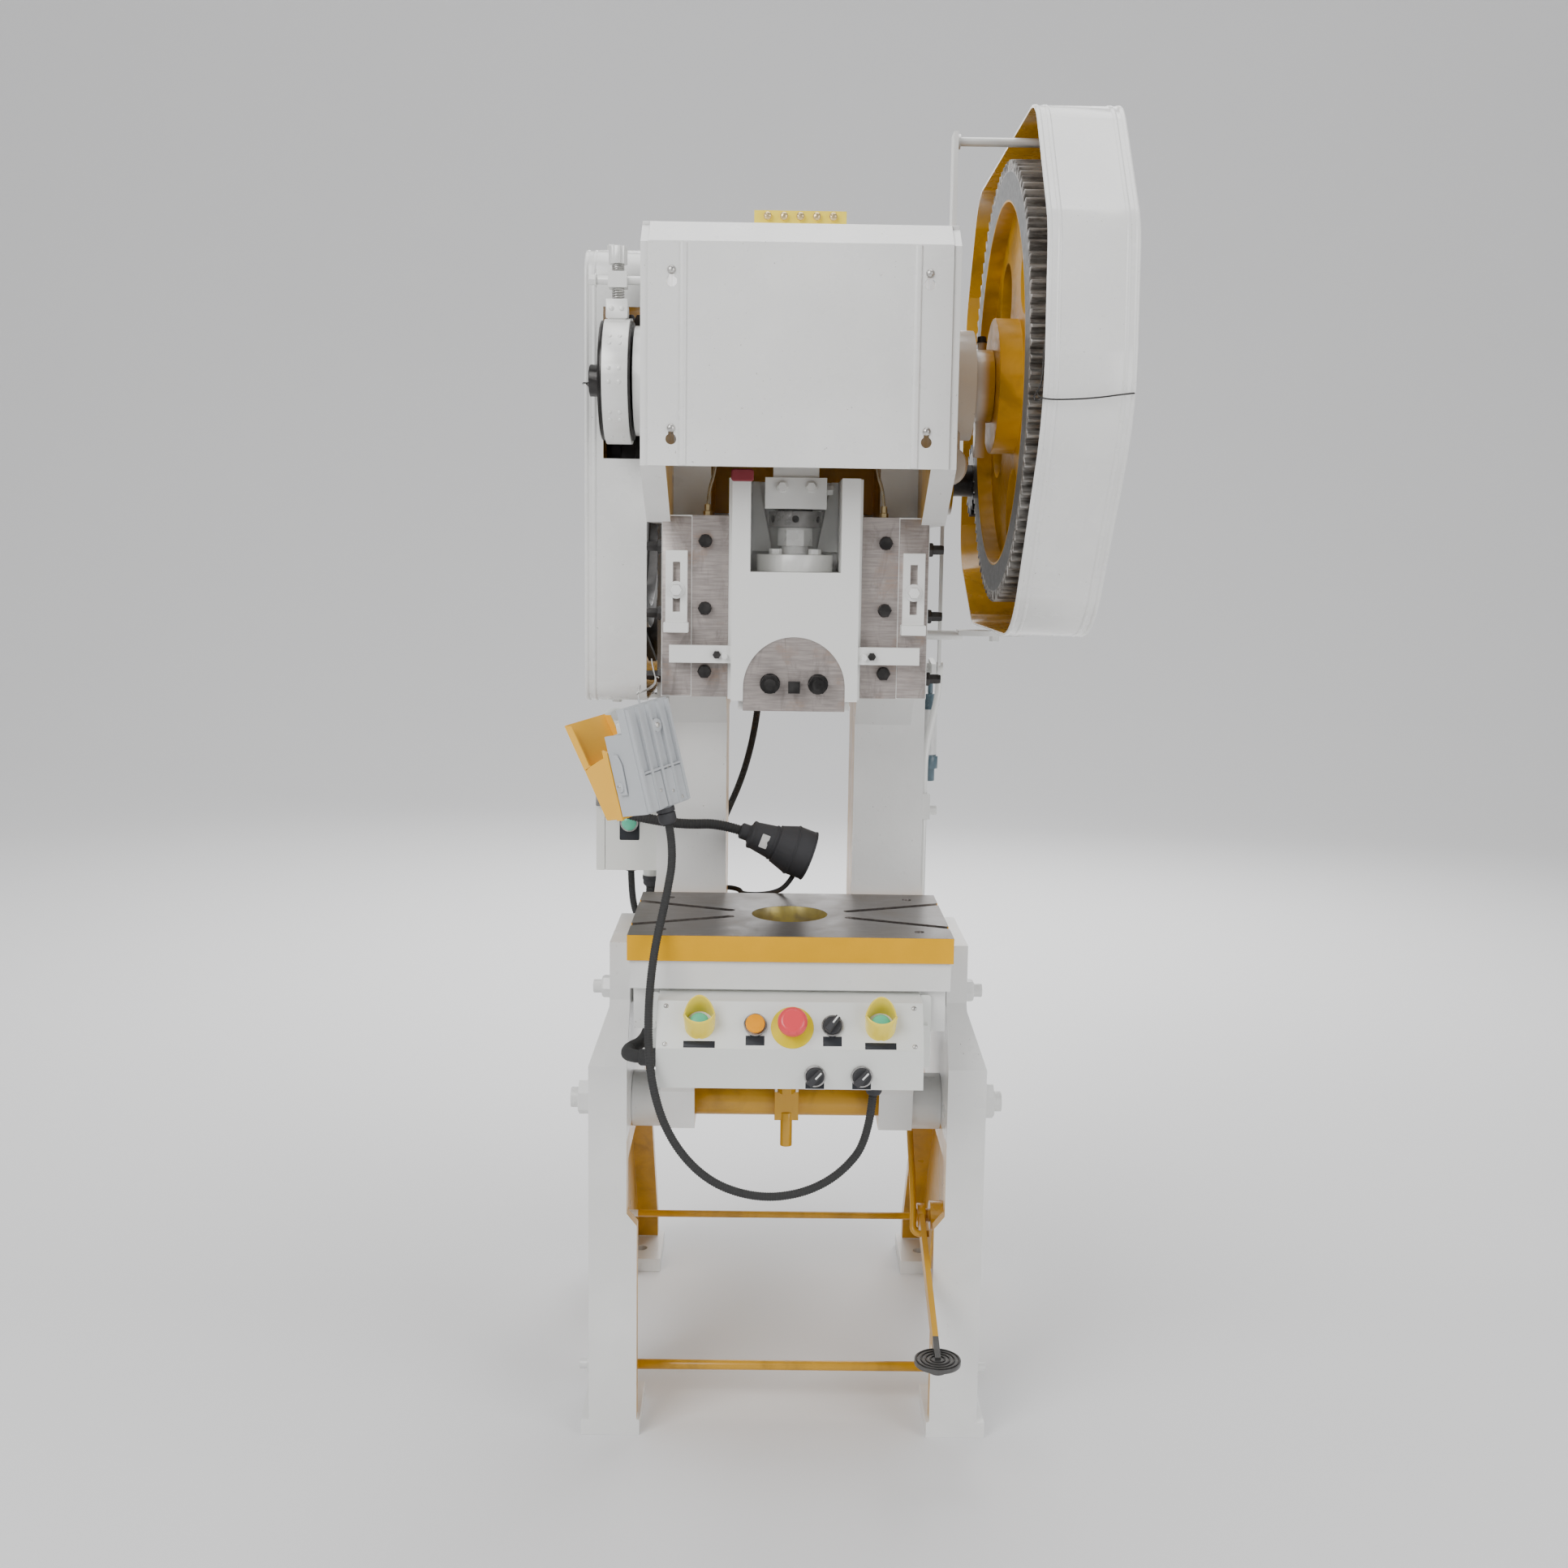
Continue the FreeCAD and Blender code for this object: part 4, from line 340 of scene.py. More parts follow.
def finish_of(name):
    """A finish made earlier by press.finishes."""
    if name not in bpy.data.materials:
        raise RuntimeError(f"there is no finish named {name}: run press.finishes first")
    return bpy.data.materials[name]


def paint(finish, *nodes):
    """Gives CAD nodes a finish."""
    for node in nodes:
        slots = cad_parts[node].data.materials
        slots.clear()
        slots.append(finish_of(finish))


def soften(width, *nodes, segments=2):
    """Rounds the edges of CAD nodes over 34 degrees, after merging their loose triangles."""
    for node in nodes:
        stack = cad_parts[node].modifiers
        weld = stack.new("Weld", "WELD")
        weld.merge_threshold = 0.00002
        flat = stack.new("Flat faces", "DECIMATE")
        flat.decimate_type = "DISSOLVE"
        flat.angle_limit = math.radians(0.6)
        edge = stack.new("Edges", "BEVEL")
        edge.width = width
        edge.segments = segments
        edge.limit_method = "ANGLE"
        edge.angle_limit = math.radians(34)
        edge.harden_normals = True


# ------------------------------------------------------------------ finishes
class Finish:
    """Writes one material's nodes, all worked out from the piece's own coordinates."""

    def __init__(self, name, colour, roughness, metallic=0.0, **sockets):
        self.material = bpy.data.materials.new(name)
        self.material.use_nodes = True
        self.tree = self.material.node_tree
        self.shader = next(n for n in self.tree.nodes if n.type == "BSDF_PRINCIPLED")
        self.tone = (*colour, 1.0)
        self.feed(self.shader, {"Base Color": self.tone, "Roughness": roughness, "Metallic": metallic})
        self.feed(self.shader, {key.replace("_", " "): value for key, value in sockets.items()})
        coordinates = self.node("ShaderNodeTexCoord")
        self.here = coordinates.outputs["Object"]
        self.x, self.y, self.z = self.node("ShaderNodeSeparateXYZ", {0: self.here}).outputs
        self.nx, self.ny, self.nz = self.node("ShaderNodeSeparateXYZ",
                                              {0: coordinates.outputs["Normal"]}).outputs

    def node(self, kind, inputs=None, **settings):
        made = self.tree.nodes.new(kind)
        for key, value in settings.items():
            setattr(made, key, value)
        self.feed(made, inputs or {})
        return made

    def feed(self, node, inputs):
        for key, value in inputs.items():
            if isinstance(value, bpy.types.NodeSocket):
                self.tree.links.new(value, node.inputs[key])
            else:
                node.inputs[key].default_value = value

    def math(self, operation, *values):
        inputs = dict(enumerate(values))
        return self.node("ShaderNodeMath", inputs, operation=operation).outputs[0]

    def over(self, value, edge, soft=0.0004):
        """0 below the edge and 1 above it."""
        return self.node("ShaderNodeMapRange", {0: value, 1: edge - soft, 2: edge + soft, 3: 0.0, 4: 1.0},
                         interpolation_type="SMOOTHSTEP").outputs[0]

    def under(self, value, edge, soft=0.0004):
        return self.math("SUBTRACT", 1.0, self.over(value, edge, soft))

    def joined(self, operation, masks):
        total = masks[0]
        for mask in masks[1:]:
            total = self.math(operation, total, mask)
        return total

    def both(self, *masks):
        return self.joined("MULTIPLY", masks)

    def either(self, *masks):
        return self.joined("MAXIMUM", masks)

    def times(self, value, factor):
        return self.math("MULTIPLY", value, factor)

    def size(self, value):
        return self.math("ABSOLUTE", value)

    def radius(self, y, z):
        """Distance from an axis along X."""
        across = self.math("SUBTRACT", self.y, y)
        up = self.math("SUBTRACT", self.z, z)
        return self.math("SQRT", self.math("ADD", self.times(across, across), self.times(up, up)))

    def noise(self, scale, detail=4.0, stretch=(1, 1, 1), rough=0.55, warp=0.0):
        """Cloudy pattern, scale waves to a metre, drawn out where stretch is under 1."""
        mapping = self.node("ShaderNodeMapping", {"Vector": self.here, "Scale": stretch})
        return self.node("ShaderNodeTexNoise", {"Vector": mapping.outputs[0], "Scale": scale,
                                                "Detail": detail, "Roughness": rough,
                                                "Distortion": warp}).outputs[0]

    def mix(self, share, first, second):
        """Blend of two colours."""
        made = self.node("ShaderNodeMix", data_type="RGBA")
        for socket, value in ((0, share), (6, first), (7, second)):
            if not isinstance(value, bpy.types.NodeSocket) and socket and len(value) == 3:
                value = (*value, 1.0)
            self.feed(made, {socket: value})
        return made.outputs[2]

    def shade(self, factor):
        """The base tone made lighter or darker."""
        return tuple(min(1.0, c * factor) for c in self.tone[:3])

    def clouded(self, pattern, dark, light, soft=0.2):
        """The base tone, darker and lighter by a pattern."""
        return self.mix(self.over(pattern, 0.5, soft), self.shade(dark), self.shade(light))

    def use_colour(self, socket):
        self.feed(self.shader, {"Base Color": socket})

    def use_roughness(self, pattern, low, high):
        self.feed(self.shader, {"Roughness": self.node(
            "ShaderNodeMapRange", {0: pattern, 1: 0.25, 2: 0.75, 3: low, 4: high}).outputs[0]})

    def use_bump(self, height, distance, strength=1.0):
        """Raises the surface by the pattern times a distance in metres."""
        inputs = {"Height": height, "Distance": distance, "Strength": strength}
        self.feed(self.shader, {"Normal": self.node("ShaderNodeBump", inputs).outputs[0]})


def enamel(name, colour, roughness=0.30, cast=0.0006, second=None, where=None):
    """Sprayed enamel: slight clouding, orange peel, dull specks, and a second paint where asked.

    cast is how far the casting under the paint is uneven. where is a function that takes the
    finish and gives the mask of the second paint."""
    f = Finish(name, colour, roughness, Coat_Weight=0.25, Coat_Roughness=0.12)
    cloud = f.noise(7.0, 3.0)
    tone = f.mix(f.over(cloud, 0.52, 0.16), f.shade(0.955), f.shade(1.02))
    if second is not None:
        other = tuple(second)
        streaks = f.noise(16.0, 5.0, (1.0, 1.0, 0.35), 0.6, 0.6)
        worn = f.mix(f.over(streaks, 0.56, 0.14), other, tuple(c * 0.68 for c in other))
        tone = f.mix(where(f), tone, worn)
    specks = f.both(f.over(f.noise(260.0, 2.0), 0.735, 0.02), f.over(f.noise(11.0, 2.0), 0.53, 0.05))
    tone = f.mix(f.times(specks, 0.55), tone, (0.16, 0.13, 0.10))
    f.use_colour(tone)
    f.use_roughness(f.noise(24.0, 4.0), roughness - 0.06, roughness + 0.10)
    peel = f.times(f.noise(330.0, 2.0), 0.10)
    lumps = f.noise(42.0, 4.0)
    f.use_bump(f.math("ADD", lumps, peel), cast, 0.8)
    return f.material


def machined(name, colour, strokes=(1.0, 1.0, 0.06), roughness=0.40, metallic=0.55):
    """Cut iron: tool strokes drawn out one way, oily smears and a touch of rust."""
    f = Finish(name, colour, roughness, metallic)
    fine = f.noise(420.0, 3.0, strokes, 0.6)
    broad = f.noise(34.0, 5.0, (1.0, 1.0, 0.35), 0.62, 1.2)
    tone = f.clouded(fine, 0.80, 1.16, 0.22)
    tone = f.mix(f.times(f.over(broad, 0.57, 0.09), 0.55), tone, f.shade(0.48))
    rust = f.both(f.over(f.noise(19.0, 5.0), 0.60, 0.05), f.over(fine, 0.5, 0.2))
    tone = f.mix(f.times(rust, 0.5), tone, (0.30, 0.17, 0.10))
    f.use_colour(tone)
    f.use_roughness(broad, roughness - 0.10, roughness + 0.16)
    f.use_bump(fine, 0.00022, 0.7)
    return f.material


def steel(name, colour, roughness=0.32, metallic=0.9):
    """Plain or blackened steel with a worn, slightly oily skin."""
    f = Finish(name, colour, roughness, metallic)
    cloud = f.noise(60.0, 4.0)
    f.use_colour(f.clouded(cloud, 0.72, 1.28))
    f.use_roughness(cloud, roughness - 0.08, roughness + 0.14)
    f.use_bump(f.noise(700.0, 2.0), 0.00006, 0.6)
    return f.material


def moulded(name, colour, roughness=0.38, grain=0.00008, scale=900.0):
    """Moulded plastic with a fine spark-eroded grain."""
    f = Finish(name, colour, roughness, Specular_IOR_Level=0.22)
    cloud = f.noise(30.0, 3.0)
    f.use_colour(f.clouded(cloud, 0.90, 1.08))
    f.use_roughness(cloud, roughness - 0.05, roughness + 0.09)
    f.use_bump(f.noise(scale, 2.0), grain, 0.7)
    return f.material


def clear(name):
    """Clear oil tube, yellowed a little by its oil."""
    f = Finish(name, (0.93, 0.88, 0.74), 0.12, Transmission_Weight=0.82, IOR=1.42)
    cloud = f.noise(90.0, 2.0)
    f.use_colour(f.mix(f.over(cloud, 0.5, 0.2), (0.93, 0.88, 0.74), (0.86, 0.76, 0.55)))
    f.use_bump(cloud, 0.0001, 0.3)
    return f.material


# Width over which a mask made from a normal fades.
FACING = 0.1
CROWN_FLOOR = 1.36


def inside_of_frame(f):
    """Ochre is on every face of the casting that looks towards the middle plane."""
    looks_in = f.times(f.nx, f.math("SIGN", f.x))
    ahead = f.both(f.under(f.ny, -0.6, FACING), f.over(f.z, CROWN_FLOOR), f.over(f.y, SLIDE_Y + 0.1))
    return f.either(f.under(looks_in, -0.6, FACING), ahead)


def inside_of_leg(side):
    """Ochre is inside the leg's channel, under its head."""
    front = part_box("leg_right")[0][1] + 0.030
    inner, shoulder, foot = 0.268, 0.455, 0.026

    def where(f):
        inwards = f.under(f.times(f.nx, float(side)), -0.35, FACING)
        behind_front = f.both(f.over(f.ny, 0.35, FACING), f.under(f.y, front))
        rear_face = f.both(f.under(f.ny, -0.2, FACING), f.over(f.y, front))
        tops = f.both(f.over(f.size(f.nz), 0.6, FACING), f.over(f.y, front),
                      f.under(f.times(f.x, float(side)), inner))
        channel = f.either(inwards, behind_front, rear_face, tops)
        return f.both(channel, f.under(f.z, shoulder, 0.004), f.over(f.z, foot))
    return where


def inside_of_cover(node, side):
    """Ochre is on the faces of a sheet cover that look at its own middle."""
    centre = middle(node)

    def where(f):
        towards = f.math("ADD", f.times(f.ny, f.math("SUBTRACT", f.y, centre[1])),
                         f.times(f.nz, f.math("SUBTRACT", f.z, centre[2])))
        panel = f.both(f.under(f.times(f.nx, float(side)), -0.5, FACING),
                       f.over(f.times(f.x, float(side)), abs(centre[0])))
        return f.either(f.under(towards, -0.02, 0.01), panel)
    return where


def gear_finish():
    """Ochre web and hub, dark rim face and oily cut teeth."""
    colours = paints()
    low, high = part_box("gear")
    tip, rim_depth, tooth_depth = (high[2] - low[2]) / 2, 0.052, 0.0155
    f = Finish("gear_paint", colours.ochre, 0.40, Specular_IOR_Level=0.12)
    streaks = f.noise(14.0, 5.0, warp=0.5)
    web = f.mix(f.over(streaks, 0.55, 0.14), f.shade(1.05), f.shade(0.70))
    away = f.radius(*middle("gear")[1:])
    rim = f.over(away, tip - rim_depth)
    teeth = f.over(away, tip - tooth_depth, 0.0012)
    oily = f.noise(120.0, 4.0, (0.2, 1.0, 1.0), 0.6)
    cut = f.mix(f.over(oily, 0.5, 0.14), (0.36, 0.345, 0.325), (0.12, 0.11, 0.10))
    grey = f.mix(f.over(oily, 0.5, 0.2), (0.060, 0.063, 0.067), (0.095, 0.098, 0.10))
    f.use_colour(f.mix(teeth, f.mix(rim, web, grey), cut))
    f.feed(f.shader, {"Metallic": f.times(teeth, 0.65)})
    f.use_roughness(oily, 0.30, 0.50)
    f.use_bump(f.noise(60.0, 4.0), 0.0006, 0.7)
    return f.material


def table_finish():
    """Ground, oiled iron on top and in the holes, signal yellow round the edges."""
    colours = paints()
    low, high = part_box("bolster")
    bore_half, skin = 0.056, 0.0015
    f = Finish("table_paint", colours.table, 0.34, 0.6, Specular_IOR_Level=0.2)
    ground = f.noise(520.0, 3.0, (0.05, 1.0, 1.0), 0.6)
    smear = f.noise(13.0, 5.0, (1.0, 0.6, 1.0), 0.62, 1.4)
    iron = f.clouded(ground, 0.78, 1.25)
    iron = f.mix(f.times(f.over(smear, 0.52, 0.16), 0.5), iron, (0.20, 0.175, 0.155))
    stained = f.mix(f.over(smear, 0.5, 0.1), (0.30, 0.25, 0.12), (0.42, 0.34, 0.10))
    bore = f.both(f.under(f.nz, 0.5, FACING), f.under(f.size(f.x), bore_half),
                  f.under(f.size(f.math("SUBTRACT", f.y, SLIDE_Y)), bore_half))
    iron = f.mix(bore, iron, stained)
    rim = f.either(f.over(f.size(f.x), high[0] - skin, 0.0002),
                   f.under(f.y, low[1] + skin, 0.0002), f.over(f.y, high[1] - skin, 0.0002))
    edge = f.both(rim, f.under(f.nz, 0.6, FACING))
    yellow = f.mix(f.over(f.noise(9.0, 3.0), 0.5, 0.2), colours.signal,
                   tuple(c * 0.9 for c in colours.signal))
    f.use_colour(f.mix(edge, iron, yellow))
    f.feed(f.shader, {"Metallic": f.times(f.math("SUBTRACT", 1.0, edge), 0.6)})
    f.use_roughness(smear, 0.26, 0.46)
    peel = f.both(edge, f.noise(260.0, 2.0))
    f.use_bump(f.math("ADD", f.times(ground, 0.3), peel), 0.0004, 0.8)
    return f.material


def split_by(name, first, second, roughness, where):
    """Smooth enamel in two colours."""
    f = Finish(name, first, roughness, Coat_Weight=0.2, Coat_Roughness=0.15)
    cloud = f.noise(40.0, 4.0)
    light = f.clouded(cloud, 0.93, 1.05)
    dark, bright = (tuple(c * factor for c in second) for factor in (0.8, 1.15))
    other = f.mix(f.over(cloud, 0.5, 0.2), dark, bright)
    f.use_colour(f.mix(where(f), light, other))
    f.use_roughness(cloud, roughness - 0.06, roughness + 0.10)
    f.use_bump(f.noise(400.0, 2.0), 0.0001, 0.6)
    return f.material


class PRESS_OT_finishes(bpy.types.Operator):
    """Write every finish of the press"""
    bl_idname = "press.finishes"
    bl_label = "Finishes"

    def execute(self, context):
        c = paints()
        enamel("body_paint", c.body)
        enamel("sheet_paint", c.body, 0.27, 0.00015)
        enamel("ochre_paint", c.ochre, 0.36, 0.0005)
        enamel("frame_paint", c.body, 0.31, 0.0008, c.ochre, inside_of_frame)
        for name, side in (("right", 1), ("left", -1)):
            enamel(f"leg_paint_{name}", c.body, 0.31, 0.0008, c.ochre, inside_of_leg(side))
        for name, side in (("gear_guard", 1), ("belt_guard", -1)):
            enamel(f"{name}_paint", c.body, 0.24, 0.0002, c.ochre, inside_of_cover(name, side))
        enamel("collar_paint", c.body, 0.30, 0.0004, c.ochre, lambda f: f.over(f.x, 0.256, 0.010))
        enamel("shaft_paint", c.body, 0.32, 0.0004, c.ochre,
               lambda f: f.under(f.size(f.x), 0.235))
        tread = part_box("pedal")[0][1] + 0.066
        enamel("pedal_paint", c.ochre, 0.36, 0.0005, (0.07, 0.068, 0.066),
               lambda f: f.under(f.y, tread))
        gear_finish()
        table_finish()
        machined("machined_iron", c.iron, (0.07, 1.0, 1.0))
        steel("black_steel", c.dark, 0.34, 0.75)
        steel("bright_steel", (0.42, 0.41, 0.40), 0.24)
        steel("zinc", c.zinc, 0.30)
        steel("brass", c.brass, 0.26, 0.95)
        split_by("bolt_steel", c.body, c.dark, 0.34,
                 lambda f: f.under(f.size(f.x), 0.225))
        (_, _, bottom), (_, _, top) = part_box("trip_cylinder")
        cap = 0.042
        split_by("cylinder_paint", (0.70, 0.70, 0.69), c.slate, 0.32,
                 lambda f: f.either(f.under(f.z, bottom + cap), f.over(f.z, top - cap)))
        split_by("motor_paint", (0.19, 0.225, 0.25), c.slate, 0.40, lambda f: f.over(f.x, 0.108))
        split_by("screw_paint", c.body, (0.20, 0.195, 0.19), 0.28,
                 lambda f: f.over(f.z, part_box("adjusting_screw")[0][2] + 0.093))
        enamel("box_paint", c.box, 0.42, 0.00012)
        moulded("black_rubber", c.black, 0.52, 0.0001, 600.0)
        moulded("black_plastic", (0.020, 0.021, 0.024), 0.46)
        moulded("grey_plastic", c.moulding, 0.44)
        moulded("orange_plastic", c.orange, 0.36)
        moulded("red_plastic", c.red, 0.27)
        moulded("green_plastic", c.green, 0.25)
        moulded("yellow_plastic", c.signal, 0.33)
        moulded("amber_plastic", (0.84, 0.32, 0.0), 0.25)
        moulded("dull_red", (0.22, 0.035, 0.045), 0.5)
        moulded("pale_yellow", (0.80, 0.62, 0.0), 0.38)
        moulded("blank_black", (0.025, 0.027, 0.032), 0.34)
        moulded("blank_white", (0.82, 0.82, 0.80), 0.34)
        moulded("lens", (0.80, 0.78, 0.72), 0.20)
        clear("clear_tube")
        return {"FINISHED"}


class PRESS_OT_castings(bpy.types.Operator):
    """Paint the castings, legs and painted bars, and round their edges"""
    bl_idname = "press.castings"
    bl_label = "Castings and stand"

    def execute(self, context):
        paint("frame_paint", "press_frame")
        paint("leg_paint_right", "leg_right")
        paint("leg_paint_left", "leg_left")
        paint("shaft_paint", "trunnion_shaft", "tie_rods")
        paint("body_paint", "ram", "knockout_bar", "knockout_stops", "ball_cap", "connecting_rod",
              "brake_band", "brake_rod", "brake_knob", "guard_stays", "trip_rod", "trip_lever")
        paint("ochre_paint", "pull_rod")
        paint("pedal_paint", "pedal")
        paint("collar_paint", "clutch_collar")
        soften(sizes().cast_edge, "press_frame", "leg_right", "leg_left", segments=3)
        soften(sizes().cast_edge * 0.55, "ram", segments=3)
        soften(sizes().plate_edge, "knockout_bar", "knockout_stops", "ball_cap", "connecting_rod",
               "clutch_collar", "guard_stays", "brake_rod", "trip_lever", "trip_rod", "brake_band",
               "trunnion_shaft", "tie_rods", "pedal", "brake_knob")
        return {"FINISHED"}


class PRESS_OT_bare_metal(bpy.types.Operator):
    """Finish the cut iron, the table, the screws and the shafts"""
    bl_idname = "press.bare_metal"
    bl_label = "Bare metal"

    def execute(self, context):
        paint("machined_iron", "gibs", "shank_clamp")
        paint("table_paint", "bolster")
        paint("black_steel", "clamp_studs", "crankshaft", "brake_drum", "drive_shaft")
        paint("screw_paint", "adjusting_screw")
        paint("brass", "crank_bushes")
        soften(sizes().plate_edge, "gibs", "shank_clamp", "bolster", "clamp_studs",
               "adjusting_screw", "crankshaft", "brake_drum")
        return {"FINISHED"}


class PRESS_OT_frame_screws(bpy.types.Operator):
    """Gib bolts, side set screws with lock nuts, stop bolts and frame lock nuts"""
    bl_idname = "press.frame_screws"
    bl_label = "Frame screws"

    def execute(self, context):
        black, pale = [], []
        for side in SIDES:
            for z in (1137.9, 1225, 1317):
                black += bolt(17, 8, 9.2, at(side * 124, -75.6, z), FRONT)
                black += [place(hexagon_head(size, deep), at(side * x, -52, z - 8), (side, 0, 0))
                          for size, deep, x in ((19, 8, 183), (13, 22, 184))]
            pale += bolt(15, 9, 12, at(side * 163, -86.4, 1250), FRONT)
            lock = at(side * LOCK_X, PIVOT_Y, LOCK_Z)
            pale += [place(part, lock, (side, 0, 0))
                     for part in (hexagon_head(30, 17), lathe([(10, 0), (10, 29), (9, 30)], 24))]
        screws = piece("slide_screws", black, "black_steel")
        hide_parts("frame_bolts")
        piece("pale_screws", pale, "sheet_paint")
        faces = [place(slab(rounded(40, 246, 1), 0, 1.0, 0.2), at(side * 163, -75, 1227), FRONT)
                 for side in SIDES]
        piece("cheek_faces", faces, "machined_iron")
        return {"FINISHED"}


class PRESS_OT_drive(bpy.types.Operator):
    """Finish the gear, the flywheel, the belts, the motor and the covers"""
    bl_idname = "press.drive"
    bl_label = "Drive and covers"

    def execute(self, context):
        paint("gear_paint", "gear")
        paint("black_steel", "flywheel", "motor_pulley")
        paint("black_rubber", "v_belts")
        paint("motor_paint", "motor")
        paint("gear_guard_paint", "gear_guard")
        paint("belt_guard_paint", "belt_guard")
        paint("sheet_paint", "crown_cover", "crown_lid")
        paint("yellow_plastic", "oil_distributor")
        paint("cylinder_paint", "trip_cylinder")
        soften(0.0007, "crown_cover", "crown_lid", "gear_guard", "belt_guard", "oil_distributor",
               "trip_cylinder")
        soften(0.0012, "motor", "flywheel", "motor_pulley", "gear")
        return {"FINISHED"}


class PRESS_OT_control_finishes(bpy.types.Operator):
    """Finish the control box, the cabinet, the foot switch and the lamp"""
    bl_idname = "press.control_finishes"
    bl_label = "Controls"

    def execute(self, context):
        paint("box_paint", "control_box", "cabinet", "cabinet_door")
        paint("grey_plastic", "foot_switch_body", "foot_switch_treadle")
        paint("black_plastic", "lamp_head")
        paint("green_plastic", "palm_button_left", "palm_button_right")
        paint("amber_plastic", "start_button")
        paint("red_plastic", "stop_button")
        soften(0.0016, "control_box", "cabinet", "cabinet_door", "foot_switch_body",
               "foot_switch_treadle", "lamp_head")
        soften(0.0022, "palm_button_left", "palm_button_right", "start_button", segments=3)
        soften(0.0038, "stop_button", segments=4)
        return {"FINISHED"}


# ------------------------------------------------------------------ cords
ROUTES = {
    "foot_switch_cable": (12, 0.846, [
        (-170.5, -132.5, 937.5), (-160.9, -132.5, 895.6), (-172, -150, 828), (-187, -178, 760),
        (-192, -210, 682), (-186, -245, 603), (-160, -262, 530), (-110, -262, 472), (-45, -255, 446),
        (18, -240, 446), (72, -216, 466), (112, -192, 510), (116, -190, 588)]),
    "rear_cable": (12, 0.844, [
        (-58, 535, 1265), (-58, 490, 1265), (-56, 438, 1228), (-51, 416, 1160), (-48, 409, 1090),
        (-56, 410, 1010), (-75, 412, 930), (-104, 411, 862), (-130, 410, 800), (-152, 407, 748),
        (-178, 402, 703), (-203, 398, 678), (-237, 391, 678), (-262, 382, 703), (-262, 382, 786)]),
    "lamp_lead": (8, 0.435, [
        (5.4, 135, 809.4), (-4, 146, 791), (-24, 170, 776), (-54, 200, 767), (-75, 240, 761),
        (-77, 290, 757), (-98, 347, 750), (-148, 372, 742), (-196, 385, 730), (-228, 388, 744),
        (-228, 388, 786)]),
}
CONDUIT = [(-180, -166, 612), (-223, -166, 612), (-226, -122, 611), (-208, -74, 606), (-204, 10, 604),
           (-206, 110, 602), (-209, 190, 606), (-214, 242, 644), (-219, 250, 706), (-219, 250, 786)]
GOOSENECK = [(-227, 178, 925), (-250, 177, 923), (-264, 160, 919), (-264, 132, 914), (-250, 110, 908),
             (-212, 108, 900), (-160, 112, 892), (-103, 127.6, 892.2), (-60, 130, 876)]
LAMP_START, LAMP_AIM = at(-60, 130, 876), unit((0.90, 0.05, -0.34))


def ribbed(route, diameter, pitch, height, plain=0.0):
    """Corrugated tube: radius less half the rib height times (1 - cos(2 pi run / pitch))."""
    line, run = evenly(spline(np.array([at(*point) for point in route])), pitch / 5)
    wave = height / 2 * (1 - np.cos(2 * np.pi * run / pitch))
    return tube(line, diameter / 2000 - np.where(run < plain, 0.0, wave), 14), line


def gland(origin, axis, radius):
    """Cable gland: hexagon, domed nut with a rolled mouth."""
    return place(lathe([(radius, 0), (radius, 6), (radius * 0.92, 7), (radius * 0.92, 13),
                        (radius * 0.76, 16.5), (radius * 0.62, 17.5)], 20), origin, axis)


class PRESS_OT_cords(bpy.types.Operator):
    """Lay the three free cables as ribbed conduit along their routes"""
    bl_idname = "press.cords"
    bl_label = "Cables"

    def execute(self, context):
        s = sizes()
        for name, (diameter, long, route) in ROUTES.items():
            surface, line = ribbed(route, diameter, s.rib_pitch * diameter / 12, s.rib_height)
            cable = piece(f"{name}_ribbed", [surface], "black_rubber", 60)
            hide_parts(name)
        return {"FINISHED"}


class PRESS_OT_conduit(bpy.types.Operator):
    """Ribbed conduit from the control box to the cabinet, and the glands of all cables"""
    bl_idname = "press.conduit"
    bl_label = "Conduit and glands"

    def execute(self, context):
        s = sizes()
        surface, _ = ribbed(CONDUIT, 18, s.rib_pitch, s.rib_height * 1.4, 0.075)
        elbow = place(lathe([(13, -2), (13, 9), (11.5, 10), (11.5, 24), (9.6, 27)], 24),
                      at(-180, -166, 612), LEFT)
        conduit = piece("conduit", [surface, elbow], "black_rubber", 60)
        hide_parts("box_conduit")
        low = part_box("cabinet")[0][2]
        parts = [gland(np.array([*at(x, y, 0)[:2], low + 0.001]), DOWN, radius)
                 for x, y, radius in ((-262, 382, 14), (-228, 388, 12), (-219, 250, 14))]
        parts.append(gland(at(*ROUTES["foot_switch_cable"][2][-1]), DOWN, 12))
        parts.append(gland(at(-58, 536, 1265), (0, -1, 0), 13))
        piece("glands", parts, "black_plastic")
        return {"FINISHED"}


# ------------------------------------------------------------------ crown and slide
def outline_path(corners, x, steps=7):
    """Points along a closed outline of (y, z, radius) corners, each turned by a true arc."""
    corners = np.array(corners, float)
    spots, radii = corners[:, :2], corners[:, 2]
    back, on = unit(np.roll(spots, 1, 0) - spots), unit(np.roll(spots, -1, 0) - spots)
    half = np.arccos(np.clip((back * on).sum(1), -1, 1)) / 2
    reach = (radii / np.tan(half))[:, None]
    start, end = spots + back * reach, spots + on * reach
    centre = spots + unit(back + on) * (radii / np.sin(half))[:, None]
    share = np.linspace(0, 1, steps)[None, :, None]
    arc = unit((start - centre)[:, None] * (1 - share) + (end - centre)[:, None] * share)
    flat = (centre[:, None] + arc * radii[:, None, None]).reshape(-1, 2)
    return np.array([at(x, y, z) for y, z in flat])


